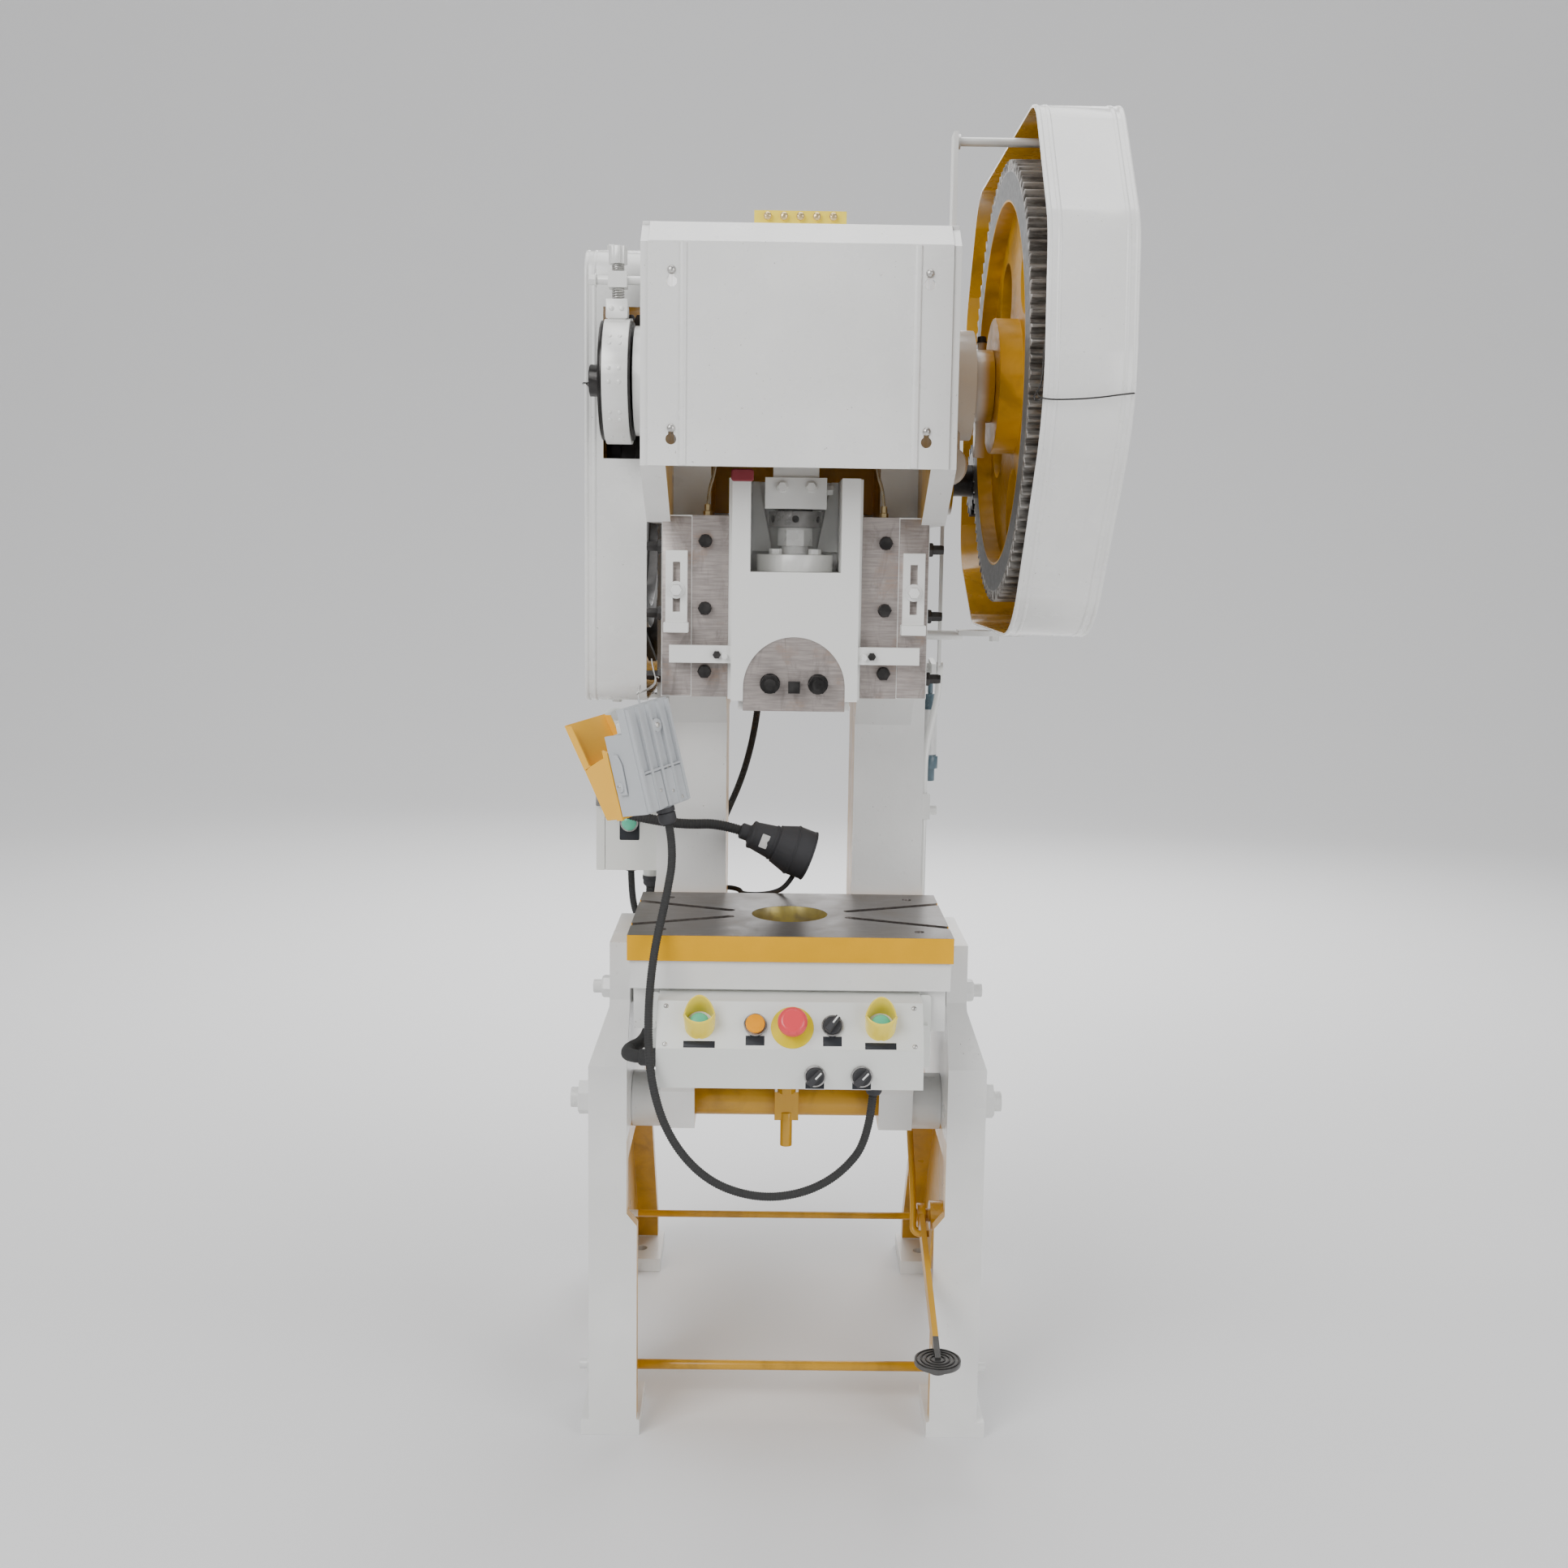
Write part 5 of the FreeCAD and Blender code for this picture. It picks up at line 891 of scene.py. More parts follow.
GEAR_COVER = [(-345, 1477, 200), (-330, 1700, 90), (-190, 1875, 80), (400, 1875, 110),
              (530, 1700, 120), (530, 1300, 90), (330, 1192, 100), (-120, 1192, 160)]
BELT_COVER = [(30, 1085, 30), (30, 1724, 40), (540, 1724, 140), (690, 1500, 120), (690, 1085, 60)]


def swage(corners, x):
    """A low half-round line pressed all round a cover, as a flattened bead on its outline."""
    line = outline_path(corners, x)
    tangent = unit(np.roll(line, -1, 0) - np.roll(line, 1, 0))
    outward = np.cross(tangent, RIGHT)
    centre = line.mean(0)
    if ((line - centre) * outward).sum() < 0:
        outward = -outward
    t = np.linspace(0, 2 * np.pi, 8, endpoint=False)
    wide = np.array([1.0, 0, 0]) * sizes().bead
    rows = (line[:, None] + wide * np.cos(t)[:, None]
            + outward[:, None] * (sizes().bead_rise * np.sin(t))[:, None])
    return looped(rows)


class PRESS_OT_cover_details(bpy.types.Operator):
    """Swaged lines and tie wires of the two side covers"""
    bl_idname = "press.cover_details"
    bl_label = "Cover details"

    def execute(self, context):
        piece("gear_cover_lines", [swage(GEAR_COVER, x) for x in (296, 308, 391, 402)],
              "sheet_paint")
        piece("belt_cover_lines", [swage(BELT_COVER, x) for x in (-298, -287)],
              "sheet_paint")
        front = (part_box("gear_guard")[0][1] - SLIDE_Y) * 1000 - 1.5
        tie = [(410, front + 40, 1501), (406, front + 8, 1500), (398, front - 1, 1499),
               (350, front - 2, 1492), (305, front - 1, 1490), (292, front + 2, 1492),
               (287, front + 12, 1495), (289, front + 22, 1500)]
        tail = [(291, front + 4, 1492), (284, front + 2, 1487), (281, front + 5, 1494),
                (286, front + 8, 1500), (292, front + 10, 1512), (293, front + 14, 1548),
                (297, front + 16, 1580), (296, front + 20, 1600)]
        left = [(-306, 60, 1538), (-304, 32, 1537), (-298, 26.5, 1536), (-284, 24, 1538),
                (-274, 8, 1551), (-262, 2, 1553), (-252, 0, 1547)]
        left_low = [(-298, 26.5, 1535), (-288, 24, 1528), (-280, 10, 1519), (-272, -6, 1512)]
        radius = sizes().wire
        piece("tie_wires", [wire([at(*p) for p in route], radius)
                            for route in (tie, tail, left, left_low)], "black_steel", 60)
        return {"FINISHED"}


class PRESS_OT_crown_details(bpy.types.Operator):
    """Pressed lines and screws of the crown's cover, oil screws and boss screws"""
    bl_idname = "press.crown_details"
    bl_label = "Crown details"

    def execute(self, context):
        low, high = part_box("crown_cover")
        front = low[1]
        t = np.linspace(0, np.pi, 7)
        parts = []
        for x in (-150, 150):
            section = np.column_stack([5.0 * np.cos(t), 0.1 + 2.6 * np.sin(t)])
            section = np.vstack([section, [(-5.0, -0.6), (5.0, -0.6)]]) / 1000
            levels = np.array([low[2] + 0.001, 1.40 + 0.292])
            rows = np.array([np.column_stack([x / 1000 + section[:, 0], front - section[:, 1],
                                              np.full(len(section), z)]) for z in levels])
            parts.append(closed(rows))
        piece("cover_lines", parts, "sheet_paint")
        heads = []
        for x in (-165, 165):
            for z in (1460, 1658):
                spot = np.array([x / 1000, front, z / 1000])
                heads.append(place(pan_head(5.6, 4.6), spot, FRONT))
        for side in SIDES:
            for z in (1478, 1596):
                heads += bolt(13, 8, 9.5, at(side * 205.5, -50, z), (side, 0, 0))
        piece("cover_screws", heads, "zinc")
        rod_bolts = []
        for x in (-19, 21):
            rod_bolts += bolt(13, 7, 8.5, at(x, -40.5, 1393), FRONT)
        rod_bolts += bolt(13, 8, 8.5, at(43, -10, 1390), RIGHT)
        piece("rod_bolts", rod_bolts, "body_paint")
        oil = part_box("oil_distributor")
        screws = []
        for x in (-44, -22, 0, 22, 44):
            spot = np.array([x / 1000, oil[0][1] + 0.0005, 1.749])
            screws.append(place(pan_head(5.6, 3.2), spot, FRONT))
            screws.append(place(slab([(-4.6, -0.7), (4.6, -0.7), (4.6, 0.7), (-4.6, 0.7)], 0, 3.5, 0.1),
                                spot, FRONT, (1, 0, 1 if x % 4 else -0.5)))
        piece("oil_screws", screws, "brass")
        facing = (-0.45, -0.86, 0.1)
        cam = place(lathe([(25, 0), (27, 1.5), (27, 8), (25, 9.5), (6, 9.5), (5, 6)], 32),
                    at(213, -34, 1424), facing)
        lever = place(slab(rounded(24, 70, 8), 0, 8), at(216, -30, 1448), facing)
        piece("trip_cam", [cam, lever], "collar_paint")
        piece("collar_screw", bolt(11, 7, 7.5, at(257, 0, CRANK_Z + 59.5), (0, 0, 1)), "black_steel")
        red = place(slab(rounded(30, 16, 4), 0, 16, 1.5), at(-73, -130, 1404), FRONT)
        piece("red_stop", [red], "dull_red")
        return {"FINISHED"}


class PRESS_OT_slide_details(bpy.types.Operator):
    """Oil fittings and tubes of the gibs, and the bar's screws"""
    bl_idname = "press.slide_details"
    bl_label = "Slide details"

    def execute(self, context):
        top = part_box("gibs")[1][2]
        fittings, tubes = [], []
        for side in SIDES:
            base = np.array([side * 0.122, at(0, -50, 0)[1], top])
            fittings.append(place(lathe([(6.2, 0), (6.2, 6), (4.4, 7), (4.4, 15), (3.2, 16)], 6), base))
            rise = [base + (0, 0, 0.012), base + (side * -0.001, 0.002, 0.035),
                    base + (side * -0.010, 0.010, 0.062), base + (side * -0.012, 0.030, 0.100)]
            tubes.append(wire(rise, 0.0024, 10))
        piece("oil_fittings", fittings, "brass")
        piece("oil_tubes", tubes, "clear_tube", 60)
        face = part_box("knockout_bar")[0][1] + 0.0068
        parts = [place(hexagon_head(10, 6.5), np.array([side * 0.1065, face, 1.1625]), FRONT)
                 for side in SIDES]
        piece("bar_screws", parts, "black_steel", body="bar")
        return {"FINISHED"}


class PRESS_OT_brake_details(bpy.types.Operator):
    """Spring, rivets, lining and eye plates of the brake"""
    bl_idname = "press.brake_details"
    bl_label = "Brake details"

    def execute(self, context):
        spring = place(coil(7.6, 1.3, 1683, 1691, 3), at(-249, -18, 0))
        spring_low = place(coil(7.6, 1.3, 1642, 1659, 5), at(-249, -18, 0))
        piece("brake_spring", [spring, spring_low], "zinc", 60)
        rivets = []
        inner = 163 / 2 + 5.3
        for degrees in (186, 174, 214, 222, 150, 142, 246, 254):
            a = math.radians(degrees)
            axis = np.array([0, math.cos(a), math.sin(a)])
            for x in (-256, -242):
                rivets.append(place(pan_head(3.0, 1.4), at(x, 0, CRANK_Z) + axis * inner / 1000, axis))
        plate = place(slab(rounded(30, 26, 2), 0, 2.5), at(-249, -40.4, 1630), FRONT)
        for x in (-256, -242):
            rivets.append(place(pan_head(3.6, 1.8), at(x, -42.9, 1630), FRONT))
        piece("brake_rivets", rivets + [plate], "body_paint")
        lining = place(ring(81.9, 78, -0.5, 2.2, 0.3, 64), at(-270, 0, CRANK_Z), LEFT)
        end = place(lathe([(19, 0), (19, 15), (17.5, 17)], 32), at(-271, 0, CRANK_Z), LEFT)
        piece("crank_end", [end, lining], "black_steel")
        pin = bolt(13, 9, 9.5, at(-279, -18, 1671), LEFT)
        piece("brake_pin_head", pin, "body_paint")
        return {"FINISHED"}


# ------------------------------------------------------------------ control box
PANEL_RUN, PANEL_RISE = 35, 57
PANEL_OUT = unit((0, -PANEL_RISE, PANEL_RUN))
PANEL_UP = np.array([0, PANEL_RUN, PANEL_RISE]) / math.hypot(PANEL_RUN, PANEL_RISE)
PANEL_MIDDLE = at(0, -207.5, 670.5)
FACE_MIDDLE = at(0, -225, 607)
PALM_X, START_X, STOP_X, MODE_X, LEFT_X, RIGHT_X = 122, -47, 3, 57, 34, 97


def on_panel(part, x, up=0.0, out=0.0):
    """Stands a part on the sloping panel, x across and up the slope, in millimetres."""
    spot = PANEL_MIDDLE + np.array([x / 1000, 0, 0]) + PANEL_UP * up / 1000 + PANEL_OUT * out / 1000
    return place(part, spot, PANEL_OUT)


def on_face(part, x, up=0.0, out=0.0):
    """Stands a part on the upright panel."""
    return place(part, FACE_MIDDLE + np.array([x, -out, up]) / 1000, FRONT)


def palm_hood():
    """Hood round a palm button: an oval wall that leans up the slope by a share of its height."""
    lean = 0.42
    t = np.linspace(0, 2 * np.pi, 96, endpoint=False)
    s = (1 + np.sin(t)) / 2
    height = 30 - 13 * np.exp(-((s - 0.60) / 0.20) ** 2) + 2.0 * s ** 4
    notch = np.exp(-((t - 1.5 * np.pi) / 0.12) ** 2)
    shape = [(20.6, 0.0, 0), (20.9, 0.35, 0), (21.4, 0.8, 0), (21.6, 1.0, -1.0), (20.8, 1.0, 0.2),
             (19.6, 1.0, 0.2), (19.0, 1.0, -1.0), (18.6, 0.5, 0), (18.4, 0.0, 0)]
    rows = []
    for radius, share, drop in shape:
        z = height * share + drop
        narrow = 1 - 0.30 * s ** 5 * share
        rows.append(np.column_stack([radius * narrow * np.cos(t) * (1 + 0.03 * share),
                                     radius * np.sin(t) * (1 - 0.10 * share) + lean * z
                                     + 1.2 * notch * (share < 0.1), z]))
    return looped(np.array(rows) / 1000)


def spun(part, degrees):
    """A part turned about its own Z."""
    a = math.radians(degrees)
    spin = np.array([[math.cos(a), -math.sin(a), 0], [math.sin(a), math.cos(a), 0], [0, 0, 1]])
    return part[0] @ spin.T, part[1]


def selector_handle(turn):
    """Knob with a tapered fin across it, turned by an angle in degrees."""
    fin = slab([(-4.6, -12.4), (4.6, -12.4), (3.4, 12.6), (-3.4, 12.6)], 7, 17.5, 1.2)
    return [lathe([(12.2, 0.6), (12.2, 6.5), (11.0, 8.2)], 40), spun(fin, turn)]


def selector_mark(turn):
    """White line along the fin's top."""
    return spun(slab([(-1.1, 0.5), (1.1, 0.5), (1.1, 12.0), (-1.1, 12.0)], 17.2, 18.0, 0.1), turn)


class PRESS_OT_box_details(bpy.types.Operator):
    """Hoods, bezels, blank plates and screws of the control box, and its three selectors"""
    bl_idname = "press.box_details"
    bl_label = "Control box details"

    def execute(self, context):
        hoods = piece("palm_hoods", [on_panel(palm_hood(), x, 0.5) for x in (-PALM_X, PALM_X)],
                      "yellow_plastic", 50)
        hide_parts("palm_guards")
        for name, x in (("palm_button_left", -PALM_X), ("palm_button_right", PALM_X)):
            cap = on_panel(lathe([(9, -6), (9, 9), (13.2, 9.5), (13.2, 13.5), (12.2, 14.9), (8, 15.9),
                                (3, 16.3)], 40), x)
            button = piece(f"{name}_cap", [cap], "green_plastic", 50,
                           name.replace("button_", ""))
            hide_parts(name)
        selector_ring = ring(14.8, 12.4, 0, 4.5)
        bezels = [on_panel(ring(15.6, 13.5, 0, 5.5), START_X), on_panel(selector_ring, MODE_X)]
        bezels += [on_face(selector_ring, x) for x in (LEFT_X, RIGHT_X)]
        bezels.append(on_panel(ring(12.5, 10, 0, 9), STOP_X))
        piece("bezels", bezels, "bright_steel")
        disc = on_panel(lathe([(29, 0), (29, 0.9), (28.6, 1.2)], 48), STOP_X, -2.5)
        piece("stop_disc", [disc], "pale_yellow")
        blanks, edges = [], []
        plates = [(on_panel, x, -27, 44, 11) for x in (-PALM_X, PALM_X)]
        plates += [(on_panel, x, -21, 27, 15) for x in (START_X, MODE_X)]
        plates += [(on_face, x, -13.0, 27, 12) for x in (LEFT_X, RIGHT_X)]
        for stand, x, up, wide, tall in plates:
            edges.append(stand(slab(rounded(wide, tall, 0.8), 0, 0.5, 0.1), x, up))
            blanks.append(stand(slab(rounded(wide - 1.6, tall - 1.6, 0.5), 0.1, 0.7, 0.1), x, up))
        piece("blank_plates", blanks, "blank_black")
        piece("blank_plate_edges", edges, "blank_white")
        screws = [on_panel(pan_head(3.4, 1.8), x, up) for x in (-168, 168) for up in (-27, 26)]
        lugs = []
        for side in SIDES:
            lugs.append(place(slab(rounded(17, 104, 5), 0, 4), at(side * 188, -134, 645), FRONT))
            lugs += bolt(10, 6, 8, at(side * 189, -138, 651), FRONT)
        piece("panel_screws", screws, "zinc")
        piece("box_lugs", lugs, "box_paint")
        line = slab([(-177, -0.4), (177, -0.4), (177, 0.4), (-177, 0.4)], -0.1, 0.5, 0.05)
        piece("panel_seam", [on_panel(line, 0, -32.6)], "box_paint")
        selectors = ((on_panel, "mode_selector", "mode_knob", MODE_X, -38),
                     (on_face, "left_selector", "left_knob", LEFT_X, -42),
                     (on_face, "right_selector", "right_knob", RIGHT_X, -42))
        for put, node, body, x, turn in selectors:
            knob = piece(f"{node}_knob", [put(part, x) for part in selector_handle(turn)],
                         "black_plastic", body=body)
            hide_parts(node)
            piece(f"{node}_mark", [put(selector_mark(turn), x)], "blank_white", body=body)
        return {"FINISHED"}


# ------------------------------------------------------------------ foot switch
def switch_axes():
    """Directions of the hanging foot switch: turned 13 degrees about Y, then 40 about its length."""
    a, b = math.radians(-13), math.radians(-40)
    tilt = np.array([[math.cos(a), 0, math.sin(a)], [0, 1, 0], [-math.sin(a), 0, math.cos(a)]])
    turn = np.array([[math.cos(b), -math.sin(b), 0], [math.sin(b), math.cos(b), 0], [0, 0, 1]])
    return tilt @ turn


SWITCH = switch_axes()


def on_switch(x, y, z):
    """Place on the foot switch from its own millimetres."""
    return at(-196, -128, 1024) + SWITCH @ np.array([x, y, z]) / 1000


def switch_part(part, x, y, z, axis=(1, 0, 0), across=(0, 1, 0)):
    """Stands a part on the foot switch, along one of its own directions."""
    return place(part, on_switch(x, y, z), SWITCH @ np.array(axis, float),
                 SWITCH @ np.array(across, float))


def side_plate(points, low, high, edge=0.5):
    """Plate cut to an outline of (x, z) points of the foot switch, between two places across it."""
    outline = [(x, -z) for x, z in points][::-1]
    return switch_part(slab(outline, low, high, edge), 0, 0, 0, (0, 1, 0), RIGHT)


class PRESS_OT_switch_hood(bpy.types.Operator):
    """Orange toe cover: a tapered box with a flared flap above it"""
    bl_idname = "press.switch_hood"
    bl_label = "Foot switch hood"

    def execute(self, context):
        parts = [side_plate([(-70, -75), (-91, -3), (-88.6, -2), (-67.4, -75)], -39, 39),
                 side_plate([(-70, -76), (-35, -76), (-35, -73.6), (-70, -73.6)], -39, 39),
                 side_plate([(-91, -3), (-111, 62), (-108.6, 63), (-88.6, -2)], -39, 39),
                 side_plate([(-91, -3), (-78, 2), (-78, 4.4), (-89, 0)], -39, 39)]
        for side in SIDES:
            low, high = sorted((side * 39.2, side * 36.9))
            parts.append(side_plate([(-36, -75), (-69, -75), (-90, -4), (-78, 2), (-46, 12), (-38, 16)],
                                    low, high))
            parts.append(side_plate([(-90.6, -3), (-110.6, 62), (-97, 60), (-80, 4)], low, high))
            low, high = sorted((side * 43.4, side * 38.8))
            parts.append(side_plate([(-46, -77), (-35, -77), (-35, 18), (-44, 22)], low, high))
        hood = piece("toe_cover", parts, "orange_plastic")
        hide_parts("foot_switch_hood")
        return {"FINISHED"}


class PRESS_OT_switch_details(bpy.types.Operator):
    """Screws, side levers, contact block and gland of the foot switch, and its hanging wire"""
    bl_idname = "press.switch_details"
    bl_label = "Foot switch details"

    def execute(self, context):
        cross = [switch_part(slab(rounded(76, 3, 1), 0, 5.5), 13.5, -1, -17)]
        cross += [switch_part(slab(rounded(36, 50, 1), 0, 4.6), 13.5, y, -45) for y in (-21, 18)]
        boss = switch_part(lathe([(9, 0), (9, 6), (7.5, 7)], 24), 13.5, 8, 41)
        arms = []
        for side in SIDES:
            arms.append(switch_part(slab([(-7, -30), (7, -30), (9, 12), (4, 26), (-4, 26), (-9, 12)],
                                         0, 3.5, 0.8), -19, side * 43.2, -12, (0, side, 0), (1, 0, 0)))
            arms.append(switch_part(lathe([(7, 0), (7, 4), (5.5, 5)], 24), -20, side * 45, -30,
                                    (0, side, 0), (1, 0, 0)))
        piece("switch_ribs", cross + [boss] + arms, "grey_plastic")
        screws = [switch_part(pan_head(4.2, 2.0), 20.2, 8, 41)]
        screws += [switch_part(pan_head(2.4, 0.9), 18.2, y, z)
                   for y, z in ((12, -18), (-11, -46), (12, -52), (27, -64))]
        screws += [switch_part(pan_head(3.6, 1.8), -20, side * 49.5, -30, (0, side, 0), RIGHT)
                   for side in SIDES]
        piece("switch_screws", screws, "zinc")
        block = switch_part(slab(rounded(50, 30, 3), 0, 60, 2), -10, -2, -6, (0, 0, 1), (0, 1, 0))
        piece("switch_block", [block], "bolt_steel")
        nut = place(lathe([(13, 0), (13, 6), (11.2, 7), (12.6, 8), (12.6, 19), (9.6, 23), (7.0, 23.5)], 12),
                    on_switch(7, 0, -72), SWITCH @ np.array([0, 0, -1.0]))
        piece("switch_gland", [nut], "black_plastic")
        hook = [on_switch(4, 0, 74), on_switch(2, 2, 90), on_switch(6, 8, 100), on_switch(9, 2, 92),
                on_switch(4, -6, 86), at(-190, -100, 1120), at(-192, -82, 1132), at(-188, -70, 1128)]
        tail = [on_switch(5, 4, 88), at(-186, -104, 1118), at(-194, -96, 1140), at(-196, -98, 1156)]
        piece("switch_wire", [wire(hook, 0.0011), wire(tail, 0.0009)], "zinc", 60)
        return {"FINISHED"}


# ------------------------------------------------------------------ lamp, cabinet, motor, stand
class PRESS_OT_lamp_details(bpy.types.Operator):
    """Ribbed gooseneck on its magnet foot, and the lamp's grooves, lens and blank plate"""
    bl_idname = "press.lamp_details"
    bl_label = "Lamp"

    def execute(self, context):
        s = sizes()
        neck, _ = ribbed(GOOSENECK, 16, s.rib_pitch * 1.15, s.rib_height * 1.4)
        foot = place(lathe([(18, 0), (18, 14), (16, 17), (11, 19), (10.5, 27)], 36),
                     at(-205, 178, 925), LEFT)
        arm = piece("gooseneck", [neck, foot], "black_rubber", 60)
        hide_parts("lamp_arm")
        rings = [place(ring(outer + 1.0, outer - 1.2, z, z + deep, 0.4, 56), LAMP_START, LAMP_AIM)
                 for outer, z, deep in ((20.6, 1, 5), (26.4, 36, 3.5), (28.6, 42, 3), (38, 68, 2.6),
                                        (38, 95.0, 2.6))]
        collar = place(lathe([(10.5, -16), (12.5, -14), (12.5, -3), (17, 0.5), (20, 1)], 28),
                       LAMP_START, LAMP_AIM)
        piece("lamp_rings", rings + [collar], "black_plastic")
        lens = place(lathe([(32, 84), (31, 86), (20, 88), (8, 89)], 40), LAMP_START, LAMP_AIM)
        piece("lamp_lens", [lens], "lens")
        side = unit(np.cross(LAMP_AIM, (0, 0, 1)))
        side = side if side[1] < 0 else -side
        plate = place(slab(rounded(21, 12, 1), 0, 0.8, 0.15),
                      LAMP_START + LAMP_AIM * 0.022 + side * 0.0236, side, np.cross(side, LAMP_AIM))
        piece("lamp_blank", [plate], "blank_white")
        return {"FINISHED"}


class PRESS_OT_cabinet_details(bpy.types.Operator):
    """Latch, pilot lamp and blank plate of the switch cabinet"""
    bl_idname = "press.cabinet_details"
    bl_label = "Cabinet details"

    def execute(self, context):
        front = (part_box("cabinet")[0][1] - SLIDE_Y) * 1000 + 9
        plate = place(slab(rounded(31, 48, 2), 0, 1), at(-250, front, 876), FRONT)
        piece("pilot_plate", [plate], "blank_black")
        bezel = place(ring(14, 10.8, 0.8, 6), at(-250, front, 880), FRONT)
        piece("pilot_bezel", [bezel], "bright_steel")
        pilot = place(lathe([(11.3, 1), (11.3, 9.2), (9.6, 11.2), (5, 12.4)], 36),
                      at(-250, front, 880), FRONT)
        piece("pilot_lens", [pilot], "green_plastic")
        keeper = [place(slab(rounded(26, 20, 3), 0, 2.2), at(-272, front, 915), FRONT),
                  place(slab(rounded(10, 8, 2), 2, 6.2), at(-266, front, 915), FRONT)]
        piece("cabinet_keeper", keeper, "bright_steel")
        latch = [place(slab(rounded(9, 18, 2), 0, 1.5), at(-297.5, front - 6, 915), FRONT),
                 wire([at(-297, front - 8, 921), at(-285, front - 8.5, 922), at(-270, front - 8.2, 920),
                       at(-263, front - 8, 915), at(-270, front - 8.2, 910), at(-285, front - 8.5, 908),
                       at(-297, front - 8, 909)], 0.0009)]
        piece("cabinet_latch", latch, "bright_steel", body="door")
        return {"FINISHED"}


class PRESS_OT_motor_details(bpy.types.Operator):
    """Cooling fins, fan grille and terminal lid of the motor"""
    bl_idname = "press.motor_details"
    bl_label = "Motor"

    def execute(self, context):
        s = sizes()
        fins = []
        section = slab([(-1.3, 0), (1.3, 0), (0.8, s.fin * 1000), (-0.8, s.fin * 1000)], -122, 104, 0.5)
        for k in range(s.fins):
            a = 2 * math.pi * k / s.fins
            if abs(math.sin(a)) > 0.80:
                continue
            across = np.array([0, -math.sin(a), math.cos(a)])
            outward = np.array([0, math.cos(a), math.sin(a)])
            spin = np.array([across, outward, (1.0, 0, 0)])
            fins.append((section[0] @ spin + at(0, MOTOR_Y, MOTOR_Z) + outward * 0.0815, section[1]))
        rings = [place(ring(r, r - 3, 0, 2.5, 0.4, 40), at(154, MOTOR_Y, MOTOR_Z), RIGHT)
                 for r in (72, 60, 48, 36, 24)]
        hub = place(lathe([(12, 0), (12, 2.5), (10, 3.5)], 24), at(154, MOTOR_Y, MOTOR_Z), RIGHT)
        lid = place(slab(rounded(108, 88, 6), 0, 3.5, 1), at(-40, MOTOR_Y, 1293), UP)
        piece("motor_fins", fins + rings + [hub, lid], "motor_paint")
        return {"FINISHED"}


class PRESS_OT_stand_details(bpy.types.Operator):
    """Hub pads, anchor washers and thread ends of the stand"""
    bl_idname = "press.stand_details"
    bl_label = "Stand details"

    def execute(self, context):
        parts = []
        for side in SIDES:
            parts.append(place(ring(34, 24, 0, 3, 1), at(side * 288, PIVOT_Y, PIVOT_Z), (side, 0, 0)))
            parts.append(place(ring(27, 10.5, 0, 2, 0.6), at(side * 262.2, PIVOT_Y, LOCK_Z),
                               (side, 0, 0)))
        piece("hub_pads", parts, "body_paint", body="stand")
        crests = lathe([(15.35 - 0.55 * (k % 2), 0.9 * k) for k in range(15)], 24)
        threads = [place(crests, at(side * 312.5, PIVOT_Y, PIVOT_Z), (side, 0, 0)) for side in SIDES]
        piece("shaft_threads", threads, "body_paint", body="stand")
        treads = [place(ring(r, r - 2.2, 0, 1.2, 0.3, 48), at(209, -230, 208), UP)
                  for r in (30.5, 24, 17.5, 11)]
        piece("pedal_rings", treads, "black_steel", body="pedal")
        return {"FINISHED"}


# ------------------------------------------------------------------ stage
def stand_at(thing, axes, spot):
    """Puts a light or a camera in the scene, its own X, Y and Z along the axes."""
    turn = np.eye(4)
    turn[:3, :3], turn[:3, 3] = np.array(axes).T, spot
    thing.matrix_world = Matrix(turn.tolist())
    bpy.context.scene.collection.objects.link(thing)


def area_light(name, spot, aim, size, power):
    """Soft square light, turned from its place towards its aim."""
    data = bpy.data.lights.new(name, "AREA")
    data.shape, data.size, data.energy = "SQUARE", size, power
    z = unit(np.array(spot, float) - np.array(aim, float))
    x = unit(np.cross(UP, z)) if abs(z[2]) < 0.99 else np.array([1.0, 0, 0])
    stand_at(bpy.data.objects.new(name, data), [x, np.cross(z, x), z], spot)


# Name, place, aim, size and share of the main power.
PRESS_AIM, WALL_AIM = (0, -0.2, 1.0), (0, 9.5, 2.6)
LIGHTS = (
    ("key", (-2.4, -3.4, 3.4), PRESS_AIM, 2.6, 3.2),
    ("fill", (3.0, -3.0, 1.9), PRESS_AIM, 2.6, 1.5),
    ("top", (0.2, 0.2, 4.6), PRESS_AIM, 3.0, 2.2),
    ("wall", (0, 1.4, 4.8), WALL_AIM, 3.0, 9.0),
    ("back", (0.8, 4.0, 3.0), PRESS_AIM, 3.0, 1.8),
)
FLOOR_FLAT, FLOOR_CURVE, FLOOR_SIDES = 6.0, 6.0, 96


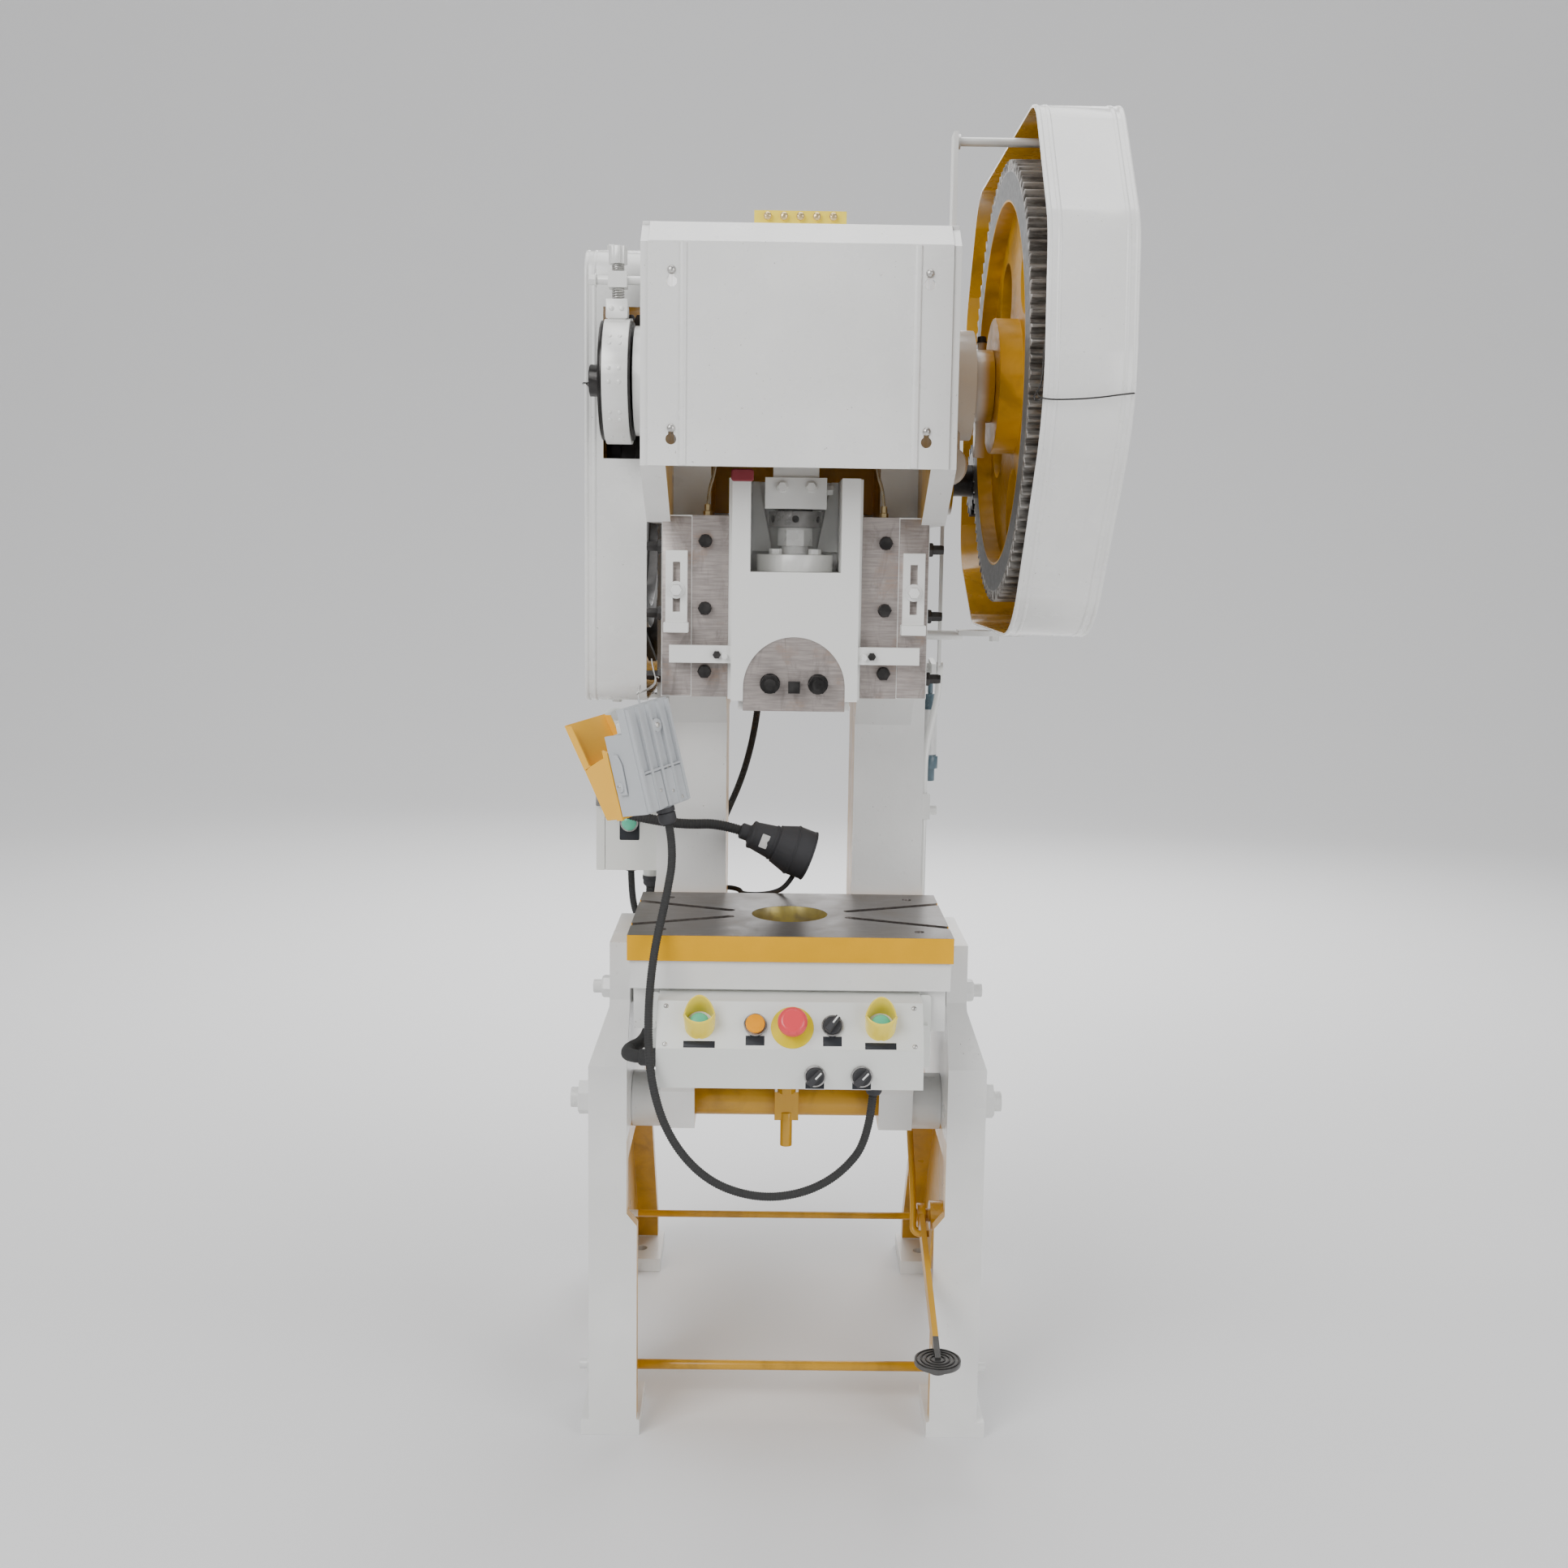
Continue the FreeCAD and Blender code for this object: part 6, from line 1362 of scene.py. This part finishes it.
class PRESS_OT_studio(bpy.types.Operator):
    """Pale bowl-shaped floor, even sky, soft lights and the camera"""
    bl_idname = "press.studio"
    bl_label = "Studio"

    def execute(self, context):
        scene, stage = context.scene, context.scene.press_stage
        a = np.linspace(0, np.pi / 2, 24)
        r = np.concatenate([[0.01, 2.0, 5.0], FLOOR_FLAT + FLOOR_CURVE * np.sin(a)])
        z = np.concatenate([[0, 0, 0], FLOOR_CURVE - FLOOR_CURVE * np.cos(a)])
        verts, faces = closed(revolve(r, z, FLOOR_SIDES))
        mesh = bpy.data.meshes.new("studio_floor")
        mesh.from_pydata(verts, [], faces[:-1])
        mesh.shade_smooth()
        floor = bpy.data.objects.new("studio_floor", mesh)
        scene.collection.objects.link(floor)
        f = Finish("studio_paper", stage.floor, 0.85)
        cloud = f.noise(0.9, 2.0)
        f.use_colour(f.clouded(cloud, 0.995, 1.005, 0.3))
        mesh.materials.append(f.material)
        world = bpy.data.worlds.new("studio_sky")
        world.use_nodes = True
        sky = next(n for n in world.node_tree.nodes if n.type == "BACKGROUND")
        sky.inputs["Color"].default_value = (1.0, 1.0, 1.0, 1.0)
        sky.inputs["Strength"].default_value = stage.sky
        scene.world = world
        for name, spot, aim, size, share in LIGHTS:
            area_light(name, spot, aim, size, stage.light * share)
        self.stand_camera(scene, stage)
        return {"FINISHED"}

    def stand_camera(self, scene, stage):
        """Looks along (sin yaw cos pitch, cos yaw cos pitch, -sin pitch), turned by the roll."""
        data = bpy.data.cameras.new("camera")
        data.lens, data.sensor_width = stage.lens, 36.0
        camera = bpy.data.objects.new("camera", data)
        pitch, yaw, roll = stage.pitch, stage.yaw, stage.roll
        ahead = np.array([math.sin(yaw) * math.cos(pitch), math.cos(yaw) * math.cos(pitch),
                          -math.sin(pitch)])
        right = np.array([math.cos(yaw), -math.sin(yaw), 0])
        down = np.cross(ahead, right)
        x = math.cos(roll) * right + math.sin(roll) * down
        y = math.sin(roll) * right - math.cos(roll) * down
        stand_at(camera, [x, y, -ahead], stage.eye)
        scene.camera = camera


OPERATORS = (
    PRESS_OT_finishes, PRESS_OT_castings, PRESS_OT_bare_metal, PRESS_OT_frame_screws, PRESS_OT_drive,
    PRESS_OT_control_finishes, PRESS_OT_cords, PRESS_OT_conduit, PRESS_OT_cover_details,
    PRESS_OT_crown_details, PRESS_OT_slide_details, PRESS_OT_brake_details, PRESS_OT_box_details,
    PRESS_OT_switch_hood, PRESS_OT_switch_details, PRESS_OT_lamp_details, PRESS_OT_cabinet_details,
    PRESS_OT_motor_details, PRESS_OT_stand_details, PRESS_OT_studio,
)


class PRESS_PT_panel(bpy.types.Panel):
    """Colours, sizes and steps of the press"""
    bl_idname = "PRESS_PT_panel"
    bl_label = "Press"
    bl_space_type = "VIEW_3D"
    bl_region_type = "UI"
    bl_category = "Press"

    def draw(self, context):
        for group in (context.scene.press_colours, context.scene.press_sizes,
                      context.scene.press_stage):
            for name in group.__annotations__:
                self.layout.prop(group, name)
        for operator in OPERATORS:
            self.layout.operator(operator.bl_idname)


CLASSES = (PressColours, PressSizes, PressStage) + OPERATORS + (PRESS_PT_panel,)


def register():
    for cls in CLASSES:
        bpy.utils.register_class(cls)
    bpy.types.Scene.press_colours = PointerProperty(type=PressColours)
    bpy.types.Scene.press_sizes = PointerProperty(type=PressSizes)
    bpy.types.Scene.press_stage = PointerProperty(type=PressStage)


def unregister():
    del bpy.types.Scene.press_stage, bpy.types.Scene.press_sizes, bpy.types.Scene.press_colours
    for cls in reversed(CLASSES):
        bpy.utils.unregister_class(cls)


def main():
    """Runs every step in order."""
    register()
    for operator in OPERATORS:
        group, name = operator.bl_idname.split(".")
        getattr(getattr(bpy.ops, group), name)()


if __name__ == "__main__":
    main()
